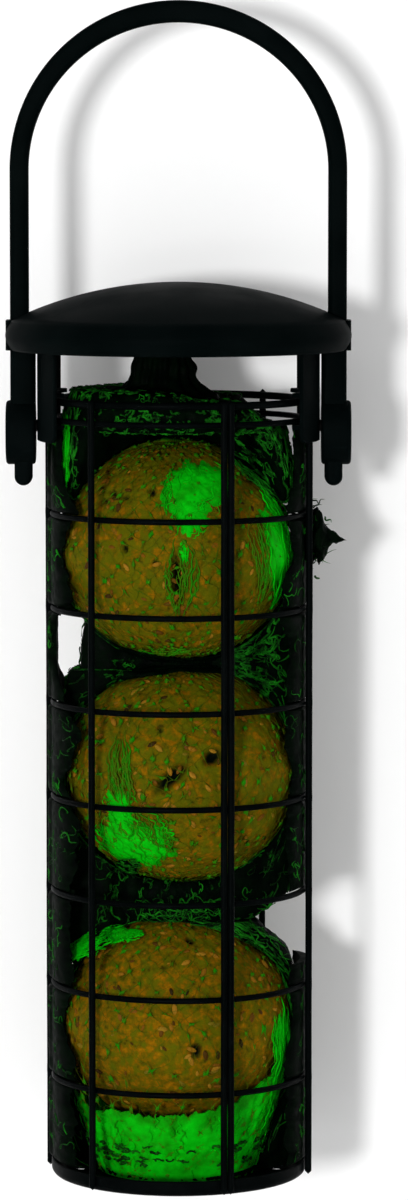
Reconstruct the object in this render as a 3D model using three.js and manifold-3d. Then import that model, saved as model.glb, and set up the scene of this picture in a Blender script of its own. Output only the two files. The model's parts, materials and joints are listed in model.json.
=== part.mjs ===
import * as THREE from 'three';
import { mergeVertices } from 'three/addons/utils/BufferGeometryUtils.js';
import Module from 'manifold-3d';

// A hanging suet feeder: a moulded bail, a domed lid that slides on it, and a welded wire cage
// that swings between its legs and holds a stack of three netted suet balls.
// Millimetres, +Z up. The bail lies in the XZ plane and the front of the cage looks along -Y.
// The origin is the inside of the bail's crown, where the hook bears.

// Welded wire cage
const cageDiameter = 73;
const uprightWire = 1.8;
const ringWire = 1.6;
const rimWire = 2;
const weldGap = 0.15;
const ringPitch = 25.4;
const ringCount = 8;
const rimToFirstRing = 5;
const rimAbovePivot = 6.9;
const uprightCount = 6;
const firstUprightTurn = 20;
const seamGap = 0.12;

// Base dish
const dishWall = 1;
const dishHeight = 4.2;
const dishCorner = 2;
const lastRingToDish = 1.8;
const uprightEndLift = 0.8;
const drainCount = 6;
const drainRadius = 2.6;
const drainCircleInset = 6;
const centreDrainRadius = 3.2;

// Side brackets that hang the cage
const bracketGap = 0.2;
const bracketWall = 1.2;
const bracketHalfTurn = 29.5;
const bracketAbovePivot = 21;
const bracketBelowPivot = 3.8;
const bracketCorner = 2.4;
const lipReach = 3.6;
const lipWall = 1.2;
const lipGap = 0.3;
const upperLipHalfTurn = 24;
const lowerLipFromTurn = 14;
const lowerLipToTurn = 24;

// Pivot rivets
const shankRadius = 1.6;
const headRadius = 3;
const headHeight = 1.2;
const bracketHoleClearance = 0.15;
const eyeHoleClearance = 0.2;
const rivetPlay = 0.2;

// Bail
const pivotDrop = 107.5;
const sideClearance = 0.4;
const legStep = 1.75;
const legThickness = 5;
const crownThickness = 5.9;
const bailDepth = 6.6;
const bailRound = 1.5;
const eyeRadius = 6.8;
const eyeLength = 3.6;
const eyeProud = 1.2;
const eyeRound = 0.9;
const sinkDepth = 1.5;
const sinkClearance = 0.4;
const tailInset = 1.05;
const tailWidth = 4.8;
const tailDrop = 16;

// Lid
const lidEdgeDrop = 87.2;
const lidCrownHeight = 18.2;
const lidSkirtHeight = 8;
const lidBeadProud = 1.6;
const lidOverhang = 1.35;
const lidWall = 1.3;
const lidStopGap = 0.3;
const guideClearance = 0.45;
const guideWall = 1.3;
const guideCorner = 1.6;

// Suet balls in their nets
const netPlay = 0.9;
const netWall = 0.6;
const netGap = 0.3;
const netHalfHeight = 29.95;
const neckRadius = 4;

// Gathered ends of the nets. The shares say how far the loose net reaches on each side of the
// stack, of the net's radius.
const bottomEndThickness = 11;
const bottomEndHeight = 27;
const bottomEndFootShare = 0.65;
const bottomEndTopShare = 0.96;
const lowerEndThickness = 6.5;
const lowerEndHeight = 26;
const lowerEndShares = { front: 0.6, right: 0.66, back: 0.97, left: 0.97 };
const middleEndHeight = 30;
const middleEndShares = { front: 0.62, right: 0.97, back: 0.97, left: 0.78 };
const middleEndInnerShare = 0.45;
const upperEndShares = { front: 0.6, right: 0.82, back: 0.82, left: 0.82 };
const upperEndShoulderHeight = 8.4;
const upperEndBelowRim = 0.2;
const upperEndTailRadius = 7.4;
const upperEndToLid = 1.3;
const upperEndLean = 3.5;

// How finely round shapes are cut, and how far a cutter runs past what it cuts
const archSteps = 10;
const roundSteps = 3;
const bandSteps = 5;
const ringSides = 6;
const ringSteps = 40;
const wireSides = 10;
const turnSteps = 48;
const softSteps = 20;
const softRows = 10;
const gatherSteps = 28;
const holeSteps = 16;
const overrun = 5;

// Values that follow from the sizes above
const degree = Math.PI / 180;
const cageRadius = cageDiameter / 2;
const uprightRadius = cageRadius - uprightWire / 2;
const weldRadius = cageRadius - uprightWire - weldGap;
const ringInnerRadius = weldRadius - Math.max(ringWire, rimWire);
const seamTurn = 2 * Math.asin((uprightWire + seamGap) / (2 * uprightRadius)) / degree;
const drainCircleRadius = weldRadius - dishCorner - drainCircleInset;
const bracketInner = cageRadius + bracketGap;
const bracketOuter = bracketInner + bracketWall;
const eyeInner = bracketOuter + sideClearance;
const legInner = eyeInner + legStep;
const legOuter = legInner + legThickness;
const eyeOuter = legOuter + eyeProud;
const lidRadius = legOuter + lidOverhang;
const archZ = crownThickness - legOuter;
const pivotZ = -pivotDrop;
const lidEdgeZ = -lidEdgeDrop;
const stopZ = lidEdgeZ - lidStopGap;
const firstRingZ = rimAbovePivot - rimToFirstRing;
const dishZ = firstRingZ - ringCount * ringPitch - lastRingToDish;
const netRadius = ringInnerRadius - netPlay;
const lowerBallZ = dishZ + dishWall + netGap + bottomEndThickness + netGap + netHalfHeight;
const middleBallZ = lowerBallZ + 2 * netHalfHeight + lowerEndThickness + 2 * netGap;
const ballHeights = {
  upper: middleBallZ + 2 * netHalfHeight + netGap,
  middle: middleBallZ,
  lower: lowerBallZ,
};

const wasm = await Module();
wasm.setup();

const plastic = { color: 0x0c0d0d, roughness: 0.45, metalness: 0 };
const coatedSteel = { color: 0x0b0c0c, roughness: 0.38, metalness: 0.35 };
const rivetSteel = { color: 0x1a1b1b, roughness: 0.35, metalness: 0.8 };
const suet = { color: 0x6e5a22, roughness: 0.85, metalness: 0 };
const net = { color: 0x2c8a26, roughness: 0.6, metalness: 0 };

// One closed skin with shared corners, no spent triangles and its faces pointing out
function closedSkin(geometry) {
  geometry.deleteAttribute('normal');
  geometry.deleteAttribute('uv');
  const skin = mergeVertices(geometry);
  const corners = skin.index.array;
  const at = skin.attributes.position;
  const kept = [];
  const a = new THREE.Vector3();
  const b = new THREE.Vector3();
  const c = new THREE.Vector3();
  let sixVolumes = 0;
  for (let i = 0; i < corners.length; i += 3) {
    const [p, q, r] = corners.slice(i, i + 3);
    if (p === q || q === r || r === p) continue;
    kept.push([p, q, r]);
    a.fromBufferAttribute(at, p);
    sixVolumes += a.dot(b.fromBufferAttribute(at, q).cross(c.fromBufferAttribute(at, r)));
  }
  if (sixVolumes < 0) kept.forEach((face) => face.reverse());
  skin.setIndex(kept.flat());
  return skin;
}

function toSolid(geometry) {
  const skin = closedSkin(geometry);
  return new wasm.Manifold(new wasm.Mesh({
    numProp: 3,
    vertProperties: new Float32Array(skin.attributes.position.array),
    triVerts: new Uint32Array(skin.index.array),
  }));
}

function toGeometry(solid) {
  const cut = solid.getMesh();
  const geometry = new THREE.BufferGeometry();
  geometry.setAttribute('position', new THREE.BufferAttribute(cut.vertProperties, 3));
  geometry.setIndex(new THREE.BufferAttribute(cut.triVerts, 1));
  geometry.computeVertexNormals();
  return geometry;
}

function addPiece(group, name, geometry, finish) {
  const mesh = new THREE.Mesh(geometry, new THREE.MeshStandardMaterial(finish));
  mesh.name = name;
  group.add(mesh);
  return mesh;
}

// A profile of [radius, height] points turned about Z
function turned(profile, steps) {
  const points = profile.map(([radius, height]) => new THREE.Vector2(radius, height));
  return closedSkin(new THREE.LatheGeometry(points, steps).rotateX(Math.PI / 2));
}

// A flat outline given thickness along Z from zero, its edges rounded inside the outline
function slab(outline, thickness, round, steps) {
  const options = {
    depth: thickness - 2 * round,
    bevelEnabled: round > 0,
    bevelThickness: round,
    bevelSize: round,
    bevelOffset: -round,
    bevelSegments: 2,
    curveSegments: steps,
  };
  return new THREE.ExtrudeGeometry(outline, options).translate(0, 0, round);
}

// Turns a slab drawn in XY so that its outline stands in XZ, centred on Y = 0
function standAcross(geometry, thickness) {
  return geometry.rotateX(Math.PI / 2).translate(0, thickness / 2, 0);
}

// Turns a slab drawn in XY so that its outline stands in YZ and its thickness runs along +X
function standAlong(geometry) {
  const axes = new THREE.Matrix4().makeBasis(
    new THREE.Vector3(0, 1, 0),
    new THREE.Vector3(0, 0, 1),
    new THREE.Vector3(1, 0, 0),
  );
  return geometry.applyMatrix4(axes);
}

// A round bar along X between two stations
function barAlongX(radius, fromX, toX, z) {
  const bar = new THREE.CylinderGeometry(radius, radius, toX - fromX, holeSteps);
  return toSolid(bar.rotateZ(Math.PI / 2).translate((fromX + toX) / 2, 0, z));
}

function roundedRectangle(minX, maxX, minY, maxY, corner) {
  const outline = new THREE.Shape();
  outline.moveTo(minX + corner, minY);
  outline.absarc(maxX - corner, minY + corner, corner, -Math.PI / 2, 0, false);
  outline.absarc(maxX - corner, maxY - corner, corner, 0, Math.PI / 2, false);
  outline.absarc(minX + corner, maxY - corner, corner, Math.PI / 2, Math.PI, false);
  outline.absarc(minX + corner, minY + corner, corner, Math.PI, Math.PI * 1.5, false);
  return outline;
}

// Part of a tube wall about Z, between two radii and two turns from the X axis
function bandSector(inner, outer, fromTurn, toTurn, minZ, maxZ) {
  const outline = new THREE.Shape();
  outline.absarc(0, 0, outer, fromTurn * degree, toTurn * degree, false);
  outline.absarc(0, 0, inner, toTurn * degree, fromTurn * degree, true);
  outline.closePath();
  return toSolid(slab(outline, maxZ - minZ, 0, bandSteps).translate(0, 0, minZ));
}

// The bail's outline: a half round bow outside, an elliptical one inside, two legs with the
// step that the lid rests on, and a round-ended tail below each eye
function bailOutline() {
  const lowZ = pivotZ - eyeLength;
  const tipRadius = tailWidth / 2;
  const tipZ = pivotZ - tailDrop + tipRadius;
  const tailOuter = legOuter - tailInset;
  const tailCentre = tailOuter - tipRadius;
  const tailInner = tailOuter - tailWidth;
  const outline = new THREE.Shape();
  outline.moveTo(legOuter, pivotZ);
  outline.lineTo(legOuter, archZ);
  outline.absarc(0, archZ, legOuter, 0, Math.PI, false);
  outline.lineTo(-legOuter, pivotZ);
  outline.lineTo(-tailOuter, lowZ);
  outline.absarc(-tailCentre, tipZ, tipRadius, Math.PI, 2 * Math.PI, false);
  outline.lineTo(-tailInner, lowZ);
  outline.lineTo(-eyeInner, pivotZ);
  outline.lineTo(-eyeInner, stopZ);
  outline.lineTo(-legInner, stopZ);
  outline.absellipse(0, archZ, legInner, -archZ, Math.PI, 0, true, 0);
  outline.lineTo(legInner, stopZ);
  outline.lineTo(eyeInner, stopZ);
  outline.lineTo(eyeInner, pivotZ);
  outline.lineTo(tailInner, lowZ);
  outline.absarc(tailCentre, tipZ, tipRadius, Math.PI, 2 * Math.PI, false);
  outline.lineTo(tailOuter, lowZ);
  outline.closePath();
  return outline;
}

// An eye is a long round boss on the leg; it stands a little proud of the leg's outer face
function eyeBoss(side) {
  const outline = new THREE.Shape();
  outline.absarc(0, pivotZ, eyeRadius, 0, Math.PI, false);
  outline.absarc(0, pivotZ - eyeLength, eyeRadius, Math.PI, 2 * Math.PI, false);
  outline.closePath();
  const boss = standAlong(slab(outline, eyeOuter - eyeInner, eyeRound, bandSteps));
  boss.translate(eyeInner, 0, 0);
  if (side < 0) boss.rotateZ(Math.PI);
  return toSolid(boss);
}

function makeBail() {
  const bow = standAcross(slab(bailOutline(), bailDepth, bailRound, archSteps), bailDepth);
  const hole = barAlongX(shankRadius + eyeHoleClearance, -eyeOuter - overrun, eyeOuter + overrun, pivotZ);
  let bail = toSolid(bow);
  for (const side of [-1, 1]) bail = bail.add(eyeBoss(side));
  bail = bail.subtract(hole);
  const sink = [eyeOuter - sinkDepth, eyeOuter + overrun];
  const sinkRadius = headRadius + sinkClearance;
  bail = bail.subtract(barAlongX(sinkRadius, sink[0], sink[1], pivotZ));
  return toGeometry(bail.subtract(barAlongX(sinkRadius, -sink[1], -sink[0], pivotZ)));
}

// Lid profile: a shallow spherical crown, a rolled bead round the skirt and an even wall.
// The crown's sphere passes through the crown's top and the bead's upper edge.
function makeLid() {
  const edgeRadius = lidRadius - lidBeadProud;
  const crownDrop = lidCrownHeight - lidSkirtHeight;
  const sphere = (edgeRadius ** 2 + crownDrop ** 2) / (2 * crownDrop);
  const centreZ = lidCrownHeight - sphere;
  const domeRows = (radius, outerRadius, rows) => Array.from({ length: rows + 1 }, (_, i) => {
    const r = (outerRadius * i) / rows;
    return [r, centreZ + Math.sqrt(radius ** 2 - r ** 2)];
  });
  const beadRows = (atRadius, topZ, rows) => Array.from({ length: rows - 1 }, (_, i) => {
    const share = (i + 1) / rows;
    return [atRadius + lidBeadProud * Math.sin(Math.PI * share), topZ * (1 - share)];
  });
  const innerEdge = edgeRadius - lidWall;
  const innerDome = domeRows(sphere - lidWall, innerEdge, bandSteps);
  const innerTopZ = innerDome[innerDome.length - 1][1];
  const outside = [
    ...domeRows(sphere, edgeRadius, bandSteps),
    ...beadRows(edgeRadius, lidSkirtHeight, bandSteps),
    [edgeRadius, 0],
  ];
  const inside = [...innerDome, ...beadRows(innerEdge, innerTopZ, bandSteps), [innerEdge, 0]];
  let lid = toSolid(turned([...outside, ...inside.reverse()], turnSteps));
  const slotInner = legInner - guideClearance;
  const slotOuter = legOuter + guideClearance;
  const slotHalf = bailDepth / 2 + guideClearance;
  for (const side of [-1, 1]) {
    const guide = roundedRectangle(
      slotInner - guideWall, lidRadius, -slotHalf - guideWall, slotHalf + guideWall, guideCorner,
    );
    const slot = roundedRectangle(slotInner, slotOuter, -slotHalf, slotHalf, bailRound);
    const boss = slab(guide, lidSkirtHeight, 0, roundSteps);
    const cutter = slab(slot, lidCrownHeight + overrun, 0, roundSteps);
    cutter.translate(0, 0, -overrun / 2);
    if (side < 0) {
      boss.rotateZ(Math.PI);
      cutter.rotateZ(Math.PI);
    }
    lid = lid.add(toSolid(boss)).subtract(toSolid(cutter));
  }
  return toGeometry(lid);
}

// A bracket is a curved plate outside the uprights. One lip sits over the rim ring and two
// hook under the first ring, either side of the rivet.
function makeBracket() {
  const lipInner = bracketInner - lipReach;
  const lipOuter = bracketInner + bracketWall / 2;
  const upperLipZ = rimAbovePivot + rimWire / 2 + lipGap;
  const lowerLipZ = firstRingZ - ringWire / 2 - lipGap;
  const plate = bandSector(
    bracketInner, bracketOuter, -bracketHalfTurn, bracketHalfTurn, -bracketBelowPivot, bracketAbovePivot,
  );
  const halfWidth = bracketInner * Math.sin(bracketHalfTurn * degree);
  const face = roundedRectangle(
    -halfWidth, halfWidth, -bracketBelowPivot, bracketAbovePivot, bracketCorner,
  );
  const trim = toSolid(standAlong(slab(face, cageRadius + overrun, 0, roundSteps)));
  let bracket = plate.intersect(trim);
  bracket = bracket.add(bandSector(
    lipInner, lipOuter, -upperLipHalfTurn, upperLipHalfTurn, upperLipZ, upperLipZ + lipWall,
  ));
  for (const side of [-1, 1]) {
    const turns = [side * lowerLipFromTurn, side * lowerLipToTurn].sort((a, b) => a - b);
    bracket = bracket.add(bandSector(
      lipInner, lipOuter, turns[0], turns[1], lowerLipZ - lipWall, lowerLipZ,
    ));
  }
  const hole = barAlongX(shankRadius + bracketHoleClearance, lipInner, eyeOuter, 0);
  return bracket.subtract(hole);
}

// The rivet's shank runs from inside the bracket to the sunk face of the eye, with a domed
// head at each end
function makeRivet() {
  const flat = Math.sqrt(bracketInner ** 2 - headRadius ** 2) - rivetPlay;
  const sunk = eyeOuter - sinkDepth + rivetPlay;
  const domeShare = 0.55;
  const profile = [
    [0, flat - headHeight],
    [headRadius * domeShare, flat - headHeight],
    [headRadius, flat - headHeight * domeShare],
    [headRadius, flat],
    [shankRadius, flat],
    [shankRadius, sunk],
    [headRadius, sunk],
    [headRadius, sunk + headHeight * domeShare],
    [headRadius * domeShare, sunk + headHeight],
    [0, sunk + headHeight],
  ];
  return turned(profile, holeSteps).rotateY(Math.PI / 2);
}

function makeRing(wire) {
  return closedSkin(new THREE.TorusGeometry(weldRadius - wire / 2, wire / 2, ringSides, ringSteps));
}

function makeUpright() {
  const topZ = rimAbovePivot + rimWire / 2;
  const bottomZ = dishZ + uprightEndLift;
  const wire = new THREE.CylinderGeometry(uprightWire / 2, uprightWire / 2, topZ - bottomZ, wireSides);
  return closedSkin(wire.rotateX(Math.PI / 2).translate(0, -uprightRadius, (topZ + bottomZ) / 2));
}

// The base is a pressed dish: a flat floor, a rounded corner and an upstand that the uprights
// are welded to, with drain holes through the floor
function makeDish() {
  const arcRows = (radius, centreR, centreZ) => Array.from({ length: roundSteps + 1 }, (_, i) => {
    const angle = (Math.PI / 2) * (i / roundSteps);
    return [centreR + radius * Math.sin(angle), centreZ - radius * Math.cos(angle)];
  });
  const cornerR = weldRadius - dishCorner;
  const outside = [[0, 0], ...arcRows(dishCorner, cornerR, dishCorner), [weldRadius, dishHeight]];
  const inside = [[0, dishWall], ...arcRows(dishCorner - dishWall, cornerR, dishCorner)];
  inside.push([weldRadius - dishWall, dishHeight]);
  let dish = toSolid(turned([...outside, ...inside.reverse()], turnSteps));
  const drill = (radius, x, y) => {
    const cutter = new THREE.CylinderGeometry(radius, radius, dishWall + 2 * overrun, holeSteps);
    return toSolid(cutter.rotateX(Math.PI / 2).translate(x, y, dishWall / 2));
  };
  dish = dish.subtract(drill(centreDrainRadius, 0, 0));
  for (let i = 0; i < drainCount; i++) {
    const turn = (2 * Math.PI * i) / drainCount;
    dish = dish.subtract(
      drill(drainRadius, drainCircleRadius * Math.cos(turn), drainCircleRadius * Math.sin(turn)),
    );
  }
  return toGeometry(dish);
}

// Points of half an ellipse about Z, from one turn below the level of its centre to one above
function ovalRows(radius, halfHeight, halfTurn) {
  return Array.from({ length: softRows + 1 }, (_, i) => {
    const turn = halfTurn * ((2 * i) / softRows - 1);
    return [radius * Math.cos(turn), halfHeight * Math.sin(turn)];
  });
}

function makeBall() {
  const wall = netWall + netGap;
  const rows = ovalRows(netRadius - wall, netHalfHeight - wall, Math.PI / 2);
  rows[0][0] = 0;
  rows[softRows][0] = 0;
  return turned(rows, softSteps);
}

// A net bag is an even skin round its ball, open at the neck above and below
function makeNet() {
  const halfTurn = Math.acos(neckRadius / netRadius);
  const outside = ovalRows(netRadius, netHalfHeight, halfTurn);
  const inside = ovalRows(netRadius - netWall, netHalfHeight - netWall, halfTurn);
  return turned([...outside, ...inside.reverse(), outside[0]], softSteps);
}

// The room that a netted ball takes, with the gap that a neighbour keeps to it
function ballRoom(x, z) {
  const room = new THREE.SphereGeometry(1, softSteps, softSteps).rotateX(Math.PI / 2);
  room.scale(netRadius + netGap, netRadius + netGap, netHalfHeight + netGap);
  return toSolid(room.translate(x, 0, z));
}

// How far loose net reaches at a turn from the front, eased between the shares of four sides
function reachAt(shares, turn) {
  const across = Math.sin(turn);
  const along = Math.cos(turn);
  const sideShare = across > 0 ? shares.right : shares.left;
  const endShare = along > 0 ? shares.front : shares.back;
  return sideShare * across ** 2 + endShare * along ** 2;
}

// A turned profile, drawn in shares of the net's radius, that reaches further on some sides
function gathered(profile, shares) {
  const points = profile.map(([share, height]) => new THREE.Vector2(netRadius * share, height));
  const loose = new THREE.LatheGeometry(points, gatherSteps).rotateX(Math.PI / 2);
  const at = loose.attributes.position;
  for (let i = 0; i < at.count; i++) {
    const reach = reachAt(shares, Math.atan2(at.getX(i), -at.getY(i)));
    at.setXY(i, at.getX(i) * reach, at.getY(i) * reach);
  }
  return toSolid(loose);
}

// Loose net drawn together under the lowest ball, spread flat on the floor of the dish
function makeBottomEnd() {
  const profile = [
    [0, 0],
    [netRadius * bottomEndFootShare, 0],
    [netRadius * bottomEndTopShare, bottomEndHeight],
    [0, bottomEndHeight],
  ];
  const ballZ = bottomEndThickness + netGap + netHalfHeight;
  return toGeometry(toSolid(turned(profile, gatherSteps)).subtract(ballRoom(0, ballZ)));
}

// A folded pad of net between the lowest ball and the one on it, and round the groove there
function makeLowerEnd(upperLean) {
  const half = lowerEndHeight / 2;
  const profile = [[0, -half], [0.8, -half], [1, -0.6 * half], [1, 0.6 * half], [0.8, half], [0, half]];
  const away = lowerEndThickness / 2 + netGap + netHalfHeight;
  const pad = gathered(profile, lowerEndShares).subtract(ballRoom(0, -away));
  return toGeometry(pad.subtract(ballRoom(upperLean, away)));
}

// Loose net in the groove between two balls that touch
function makeMiddleEnd(upperLean) {
  const half = middleEndHeight / 2;
  const level = netHalfHeight + netGap / 2;
  const profile = [
    [middleEndInnerShare, level - half],
    [0.8, level - half],
    [1, level - 0.6 * half],
    [1, level + 0.6 * half],
    [0.8, level + half],
    [middleEndInnerShare, level + half],
    [middleEndInnerShare, level - half],
  ];
  const below = ballRoom(0, 0);
  const above = ballRoom(upperLean, 2 * netHalfHeight + netGap);
  return toGeometry(gathered(profile, middleEndShares).subtract(below).subtract(above));
}

// The gathered neck of the highest ball: a wide ruff under the rim, and an upright tail on it
function makeUpperEnd() {
  const topZ = rimAbovePivot - upperEndBelowRim - ballHeights.upper;
  const tailTopZ = lidEdgeZ - upperEndToLid - pivotZ - ballHeights.upper;
  const shoulderZ = netHalfHeight - upperEndShoulderHeight;
  const rise = topZ - shoulderZ;
  const ruff = [
    [0, shoulderZ],
    [0.8, shoulderZ],
    [1, shoulderZ + 0.5 * rise],
    [0.94, shoulderZ + 0.85 * rise],
    [0.8, topZ],
    [0, topZ],
  ];
  const tail = [
    [0, topZ - netGap],
    [upperEndTailRadius * 1.4, topZ - netGap],
    [upperEndTailRadius * 1.1, topZ + 0.35 * (tailTopZ - topZ)],
    [upperEndTailRadius, tailTopZ - lidStopGap],
    [0, tailTopZ],
  ];
  const neck = gathered(ruff, upperEndShares).add(toSolid(turned(tail, gatherSteps)));
  return toGeometry(neck.subtract(ballRoom(upperEndLean, 0)));
}

const feeder = new THREE.Group();
addPiece(feeder, 'bail_handle', makeBail(), plastic);

const lidGroup = new THREE.Group();
lidGroup.position.z = lidEdgeZ;
feeder.add(lidGroup);
addPiece(lidGroup, 'lid', makeLid(), plastic);

const cage = new THREE.Group();
cage.position.z = pivotZ;
feeder.add(cage);
for (const [side, turn] of [['left', Math.PI], ['right', 0]]) {
  addPiece(cage, `${side}_bracket`, toGeometry(makeBracket()), plastic).rotation.z = turn;
  addPiece(cage, `${side}_pivot_rivet`, makeRivet(), rivetSteel).rotation.z = turn;
}
addPiece(cage, 'rim_ring', makeRing(rimWire), coatedSteel).position.z = rimAbovePivot;
for (let i = 0; i < ringCount; i++) {
  const ring = addPiece(cage, `mesh_ring_${i + 1}`, makeRing(ringWire), coatedSteel);
  ring.position.z = firstRingZ - i * ringPitch;
}
const uprightTurns = Array.from(
  { length: uprightCount },
  (_, i) => firstUprightTurn + (i * 360) / uprightCount,
);
uprightTurns.push(firstUprightTurn + seamTurn);
uprightTurns.forEach((turn, i) => {
  const upright = addPiece(cage, `upright_wire_${i + 1}`, makeUpright(), coatedSteel);
  upright.rotation.z = turn * degree;
});
addPiece(cage, 'base_dish', makeDish(), coatedSteel).position.z = dishZ;

// Each ball leans a little to one side of the cage, by a share of its play
const leanShares = { upper: -0.7, middle: 0.7, lower: -0.5 };
const leanTo = (level, from) => (leanShares[level] - leanShares[from]) * netPlay;
const ballGroups = {};
for (const level of ['upper', 'middle', 'lower']) {
  const ballGroup = new THREE.Group();
  ballGroup.position.set(leanShares[level] * netPlay, 0, ballHeights[level]);
  cage.add(ballGroup);
  ballGroups[level] = ballGroup;
  addPiece(ballGroup, `${level}_suet_ball`, makeBall(), suet);
  addPiece(ballGroup, `${level}_net`, makeNet(), net);
}
const upperEnd = addPiece(ballGroups.upper, 'upper_net_end', makeUpperEnd(), net);
upperEnd.position.x = -upperEndLean;
addPiece(ballGroups.middle, 'middle_net_end', makeMiddleEnd(leanTo('upper', 'middle')), net);
const lowerEnd = addPiece(ballGroups.lower, 'lower_net_end', makeLowerEnd(leanTo('middle', 'lower')), net);
lowerEnd.position.z = netHalfHeight + netGap + lowerEndThickness / 2;
const bottomEnd = addPiece(ballGroups.lower, 'bottom_net_end', makeBottomEnd(), net);
bottomEnd.position.z = -netHalfHeight - netGap - bottomEndThickness;

export default feeder;
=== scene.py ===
import json
from math import radians, tan

import bpy
import numpy as np
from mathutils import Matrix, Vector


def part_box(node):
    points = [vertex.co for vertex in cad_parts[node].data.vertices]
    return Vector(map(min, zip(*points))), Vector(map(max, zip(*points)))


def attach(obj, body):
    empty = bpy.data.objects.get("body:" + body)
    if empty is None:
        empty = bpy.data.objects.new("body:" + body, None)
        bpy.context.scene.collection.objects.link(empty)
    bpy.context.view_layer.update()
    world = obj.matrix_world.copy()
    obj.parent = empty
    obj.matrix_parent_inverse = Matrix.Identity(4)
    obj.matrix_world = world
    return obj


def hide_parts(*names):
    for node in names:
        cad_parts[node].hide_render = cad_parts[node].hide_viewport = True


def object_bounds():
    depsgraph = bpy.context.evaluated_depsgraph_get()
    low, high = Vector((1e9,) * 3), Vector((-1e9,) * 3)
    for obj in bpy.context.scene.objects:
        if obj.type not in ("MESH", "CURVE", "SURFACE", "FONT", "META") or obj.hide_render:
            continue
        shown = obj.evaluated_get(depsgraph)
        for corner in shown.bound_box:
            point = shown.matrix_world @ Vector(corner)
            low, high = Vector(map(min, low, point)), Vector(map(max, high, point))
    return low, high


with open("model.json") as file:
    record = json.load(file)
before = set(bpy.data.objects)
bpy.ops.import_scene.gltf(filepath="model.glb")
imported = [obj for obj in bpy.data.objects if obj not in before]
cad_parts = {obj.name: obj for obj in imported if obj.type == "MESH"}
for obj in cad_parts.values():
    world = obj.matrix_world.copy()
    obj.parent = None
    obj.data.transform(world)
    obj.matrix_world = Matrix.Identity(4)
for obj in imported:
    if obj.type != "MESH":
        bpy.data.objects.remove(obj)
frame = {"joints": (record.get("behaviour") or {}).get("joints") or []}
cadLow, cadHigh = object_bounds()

mm = 0.001
fullTurn = 2 * np.pi


# Camera and stage: the camera stands a little right of the feeder and looks 5.4 degrees down

view = {
    "place": (6.84 * mm, -1344 * mm, -27.5 * mm),
    "lookDown": 5.4,
    "lens": 150.4,
    "wallBehind": 50 * mm,
    "wallReach": 900 * mm,
    "floorBelow": 70 * mm,
    "floorReach": 4000 * mm,
    "keyTurn": -15.5,
    "keyLift": 2.4,
    "keyAway": 2200 * mm,
    "keySize": 260 * mm,
    "keyPower": 25.5,
    "skyLevel": 0.56,
}


def makeCamera():
    data = bpy.data.cameras.new("camera")
    data.lens = view["lens"]
    data.clip_start = 0.01
    data.clip_end = 100
    camera = bpy.data.objects.new("camera", data)
    camera.location = view["place"]
    camera.rotation_euler = (radians(90 - view["lookDown"]), 0, 0)
    bpy.context.scene.collection.objects.link(camera)
    bpy.context.scene.camera = camera


# White for the camera, a plain grey for the light that falls on the feeder and for what it reflects
def makeSky():
    world = bpy.data.worlds.new("sky")
    bpy.context.scene.world = world
    world.use_nodes = True
    tree = world.node_tree
    background = tree.nodes["Background"]
    ray = tree.nodes.new("ShaderNodeLightPath")
    level = tree.nodes.new("ShaderNodeMapRange")
    tree.links.new(ray.outputs["Is Camera Ray"], level.inputs["Value"])
    level.inputs["To Min"].default_value = view["skyLevel"]
    level.inputs["To Max"].default_value = 1.0
    background.inputs["Color"].default_value = (1, 1, 1, 1)
    tree.links.new(level.outputs["Result"], background.inputs["Strength"])


def makeLamp():
    turn, lift = radians(view["keyTurn"]), radians(view["keyLift"])
    away = view["keyAway"]
    middle = (np.array(cadLow) + np.array(cadHigh)) / 2
    toward = np.array([np.sin(turn) * np.cos(lift), -np.cos(turn) * np.cos(lift), np.sin(lift)])
    data = bpy.data.lights.new("keyLamp", "AREA")
    data.shape = "DISK"
    data.size = view["keySize"]
    data.energy = view["keyPower"]
    lamp = bpy.data.objects.new("keyLamp", data)
    lamp.location = middle + away * toward
    lamp.rotation_euler = (radians(90 - view["keyLift"]), 0, turn)
    bpy.context.scene.collection.objects.link(lamp)


# The wall is a flat sheet that shows on its front only, so the feeder can be seen from behind
def makeStage():
    material = bpy.data.materials.new("paleStage")
    material.use_nodes = True
    tree = material.node_tree
    shader = tree.nodes["Principled BSDF"]
    shader.inputs["Base Color"].default_value = (1, 1, 1, 1)
    shader.inputs["Roughness"].default_value = 1
    shader.inputs["Specular IOR Level"].default_value = 0
    clear = tree.nodes.new("ShaderNodeBsdfTransparent")
    side = tree.nodes.new("ShaderNodeNewGeometry")
    mix = tree.nodes.new("ShaderNodeMixShader")
    tree.links.new(side.outputs["Backfacing"], mix.inputs["Fac"])
    tree.links.new(shader.outputs["BSDF"], mix.inputs[1])
    tree.links.new(clear.outputs["BSDF"], mix.inputs[2])
    tree.links.new(mix.outputs["Shader"], tree.nodes["Material Output"].inputs["Surface"])
    reach, high = view["wallReach"], view["wallBehind"]
    low = cadLow[2] - view["floorBelow"]
    wide = view["floorReach"]
    corners = {
        "wall": [(-reach, high, low), (reach, high, low), (reach, high, low + 2 * reach),
                 (-reach, high, low + 2 * reach)],
        "floor": [(-wide, -wide, low), (wide, -wide, low), (wide, wide, low), (-wide, wide, low)],
    }
    for name, points in corners.items():
        mesh = bpy.data.meshes.new(name)
        mesh.from_pydata(points, [], [(0, 1, 2, 3)])
        mesh.materials.append(material)
        sheet = bpy.data.objects.new(name, mesh)
        bpy.context.scene.collection.objects.link(sheet)


# Surfaces as number grids

# A smooth field of about -1 to 1: the sum of sine waves that run in random directions
def ripples(points, wavelength, seed, waves=14):
    rng = np.random.default_rng(seed)
    direction = rng.normal(size=(3, waves))
    direction /= np.linalg.norm(direction, axis=0)
    pitch = fullTurn / (wavelength * rng.uniform(0.7, 1.5, waves))
    phase = rng.uniform(0, fullTurn, waves)
    return np.sin(points @ (direction * pitch) + phase).sum(axis=-1) / np.sqrt(waves / 2) / 2


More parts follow.
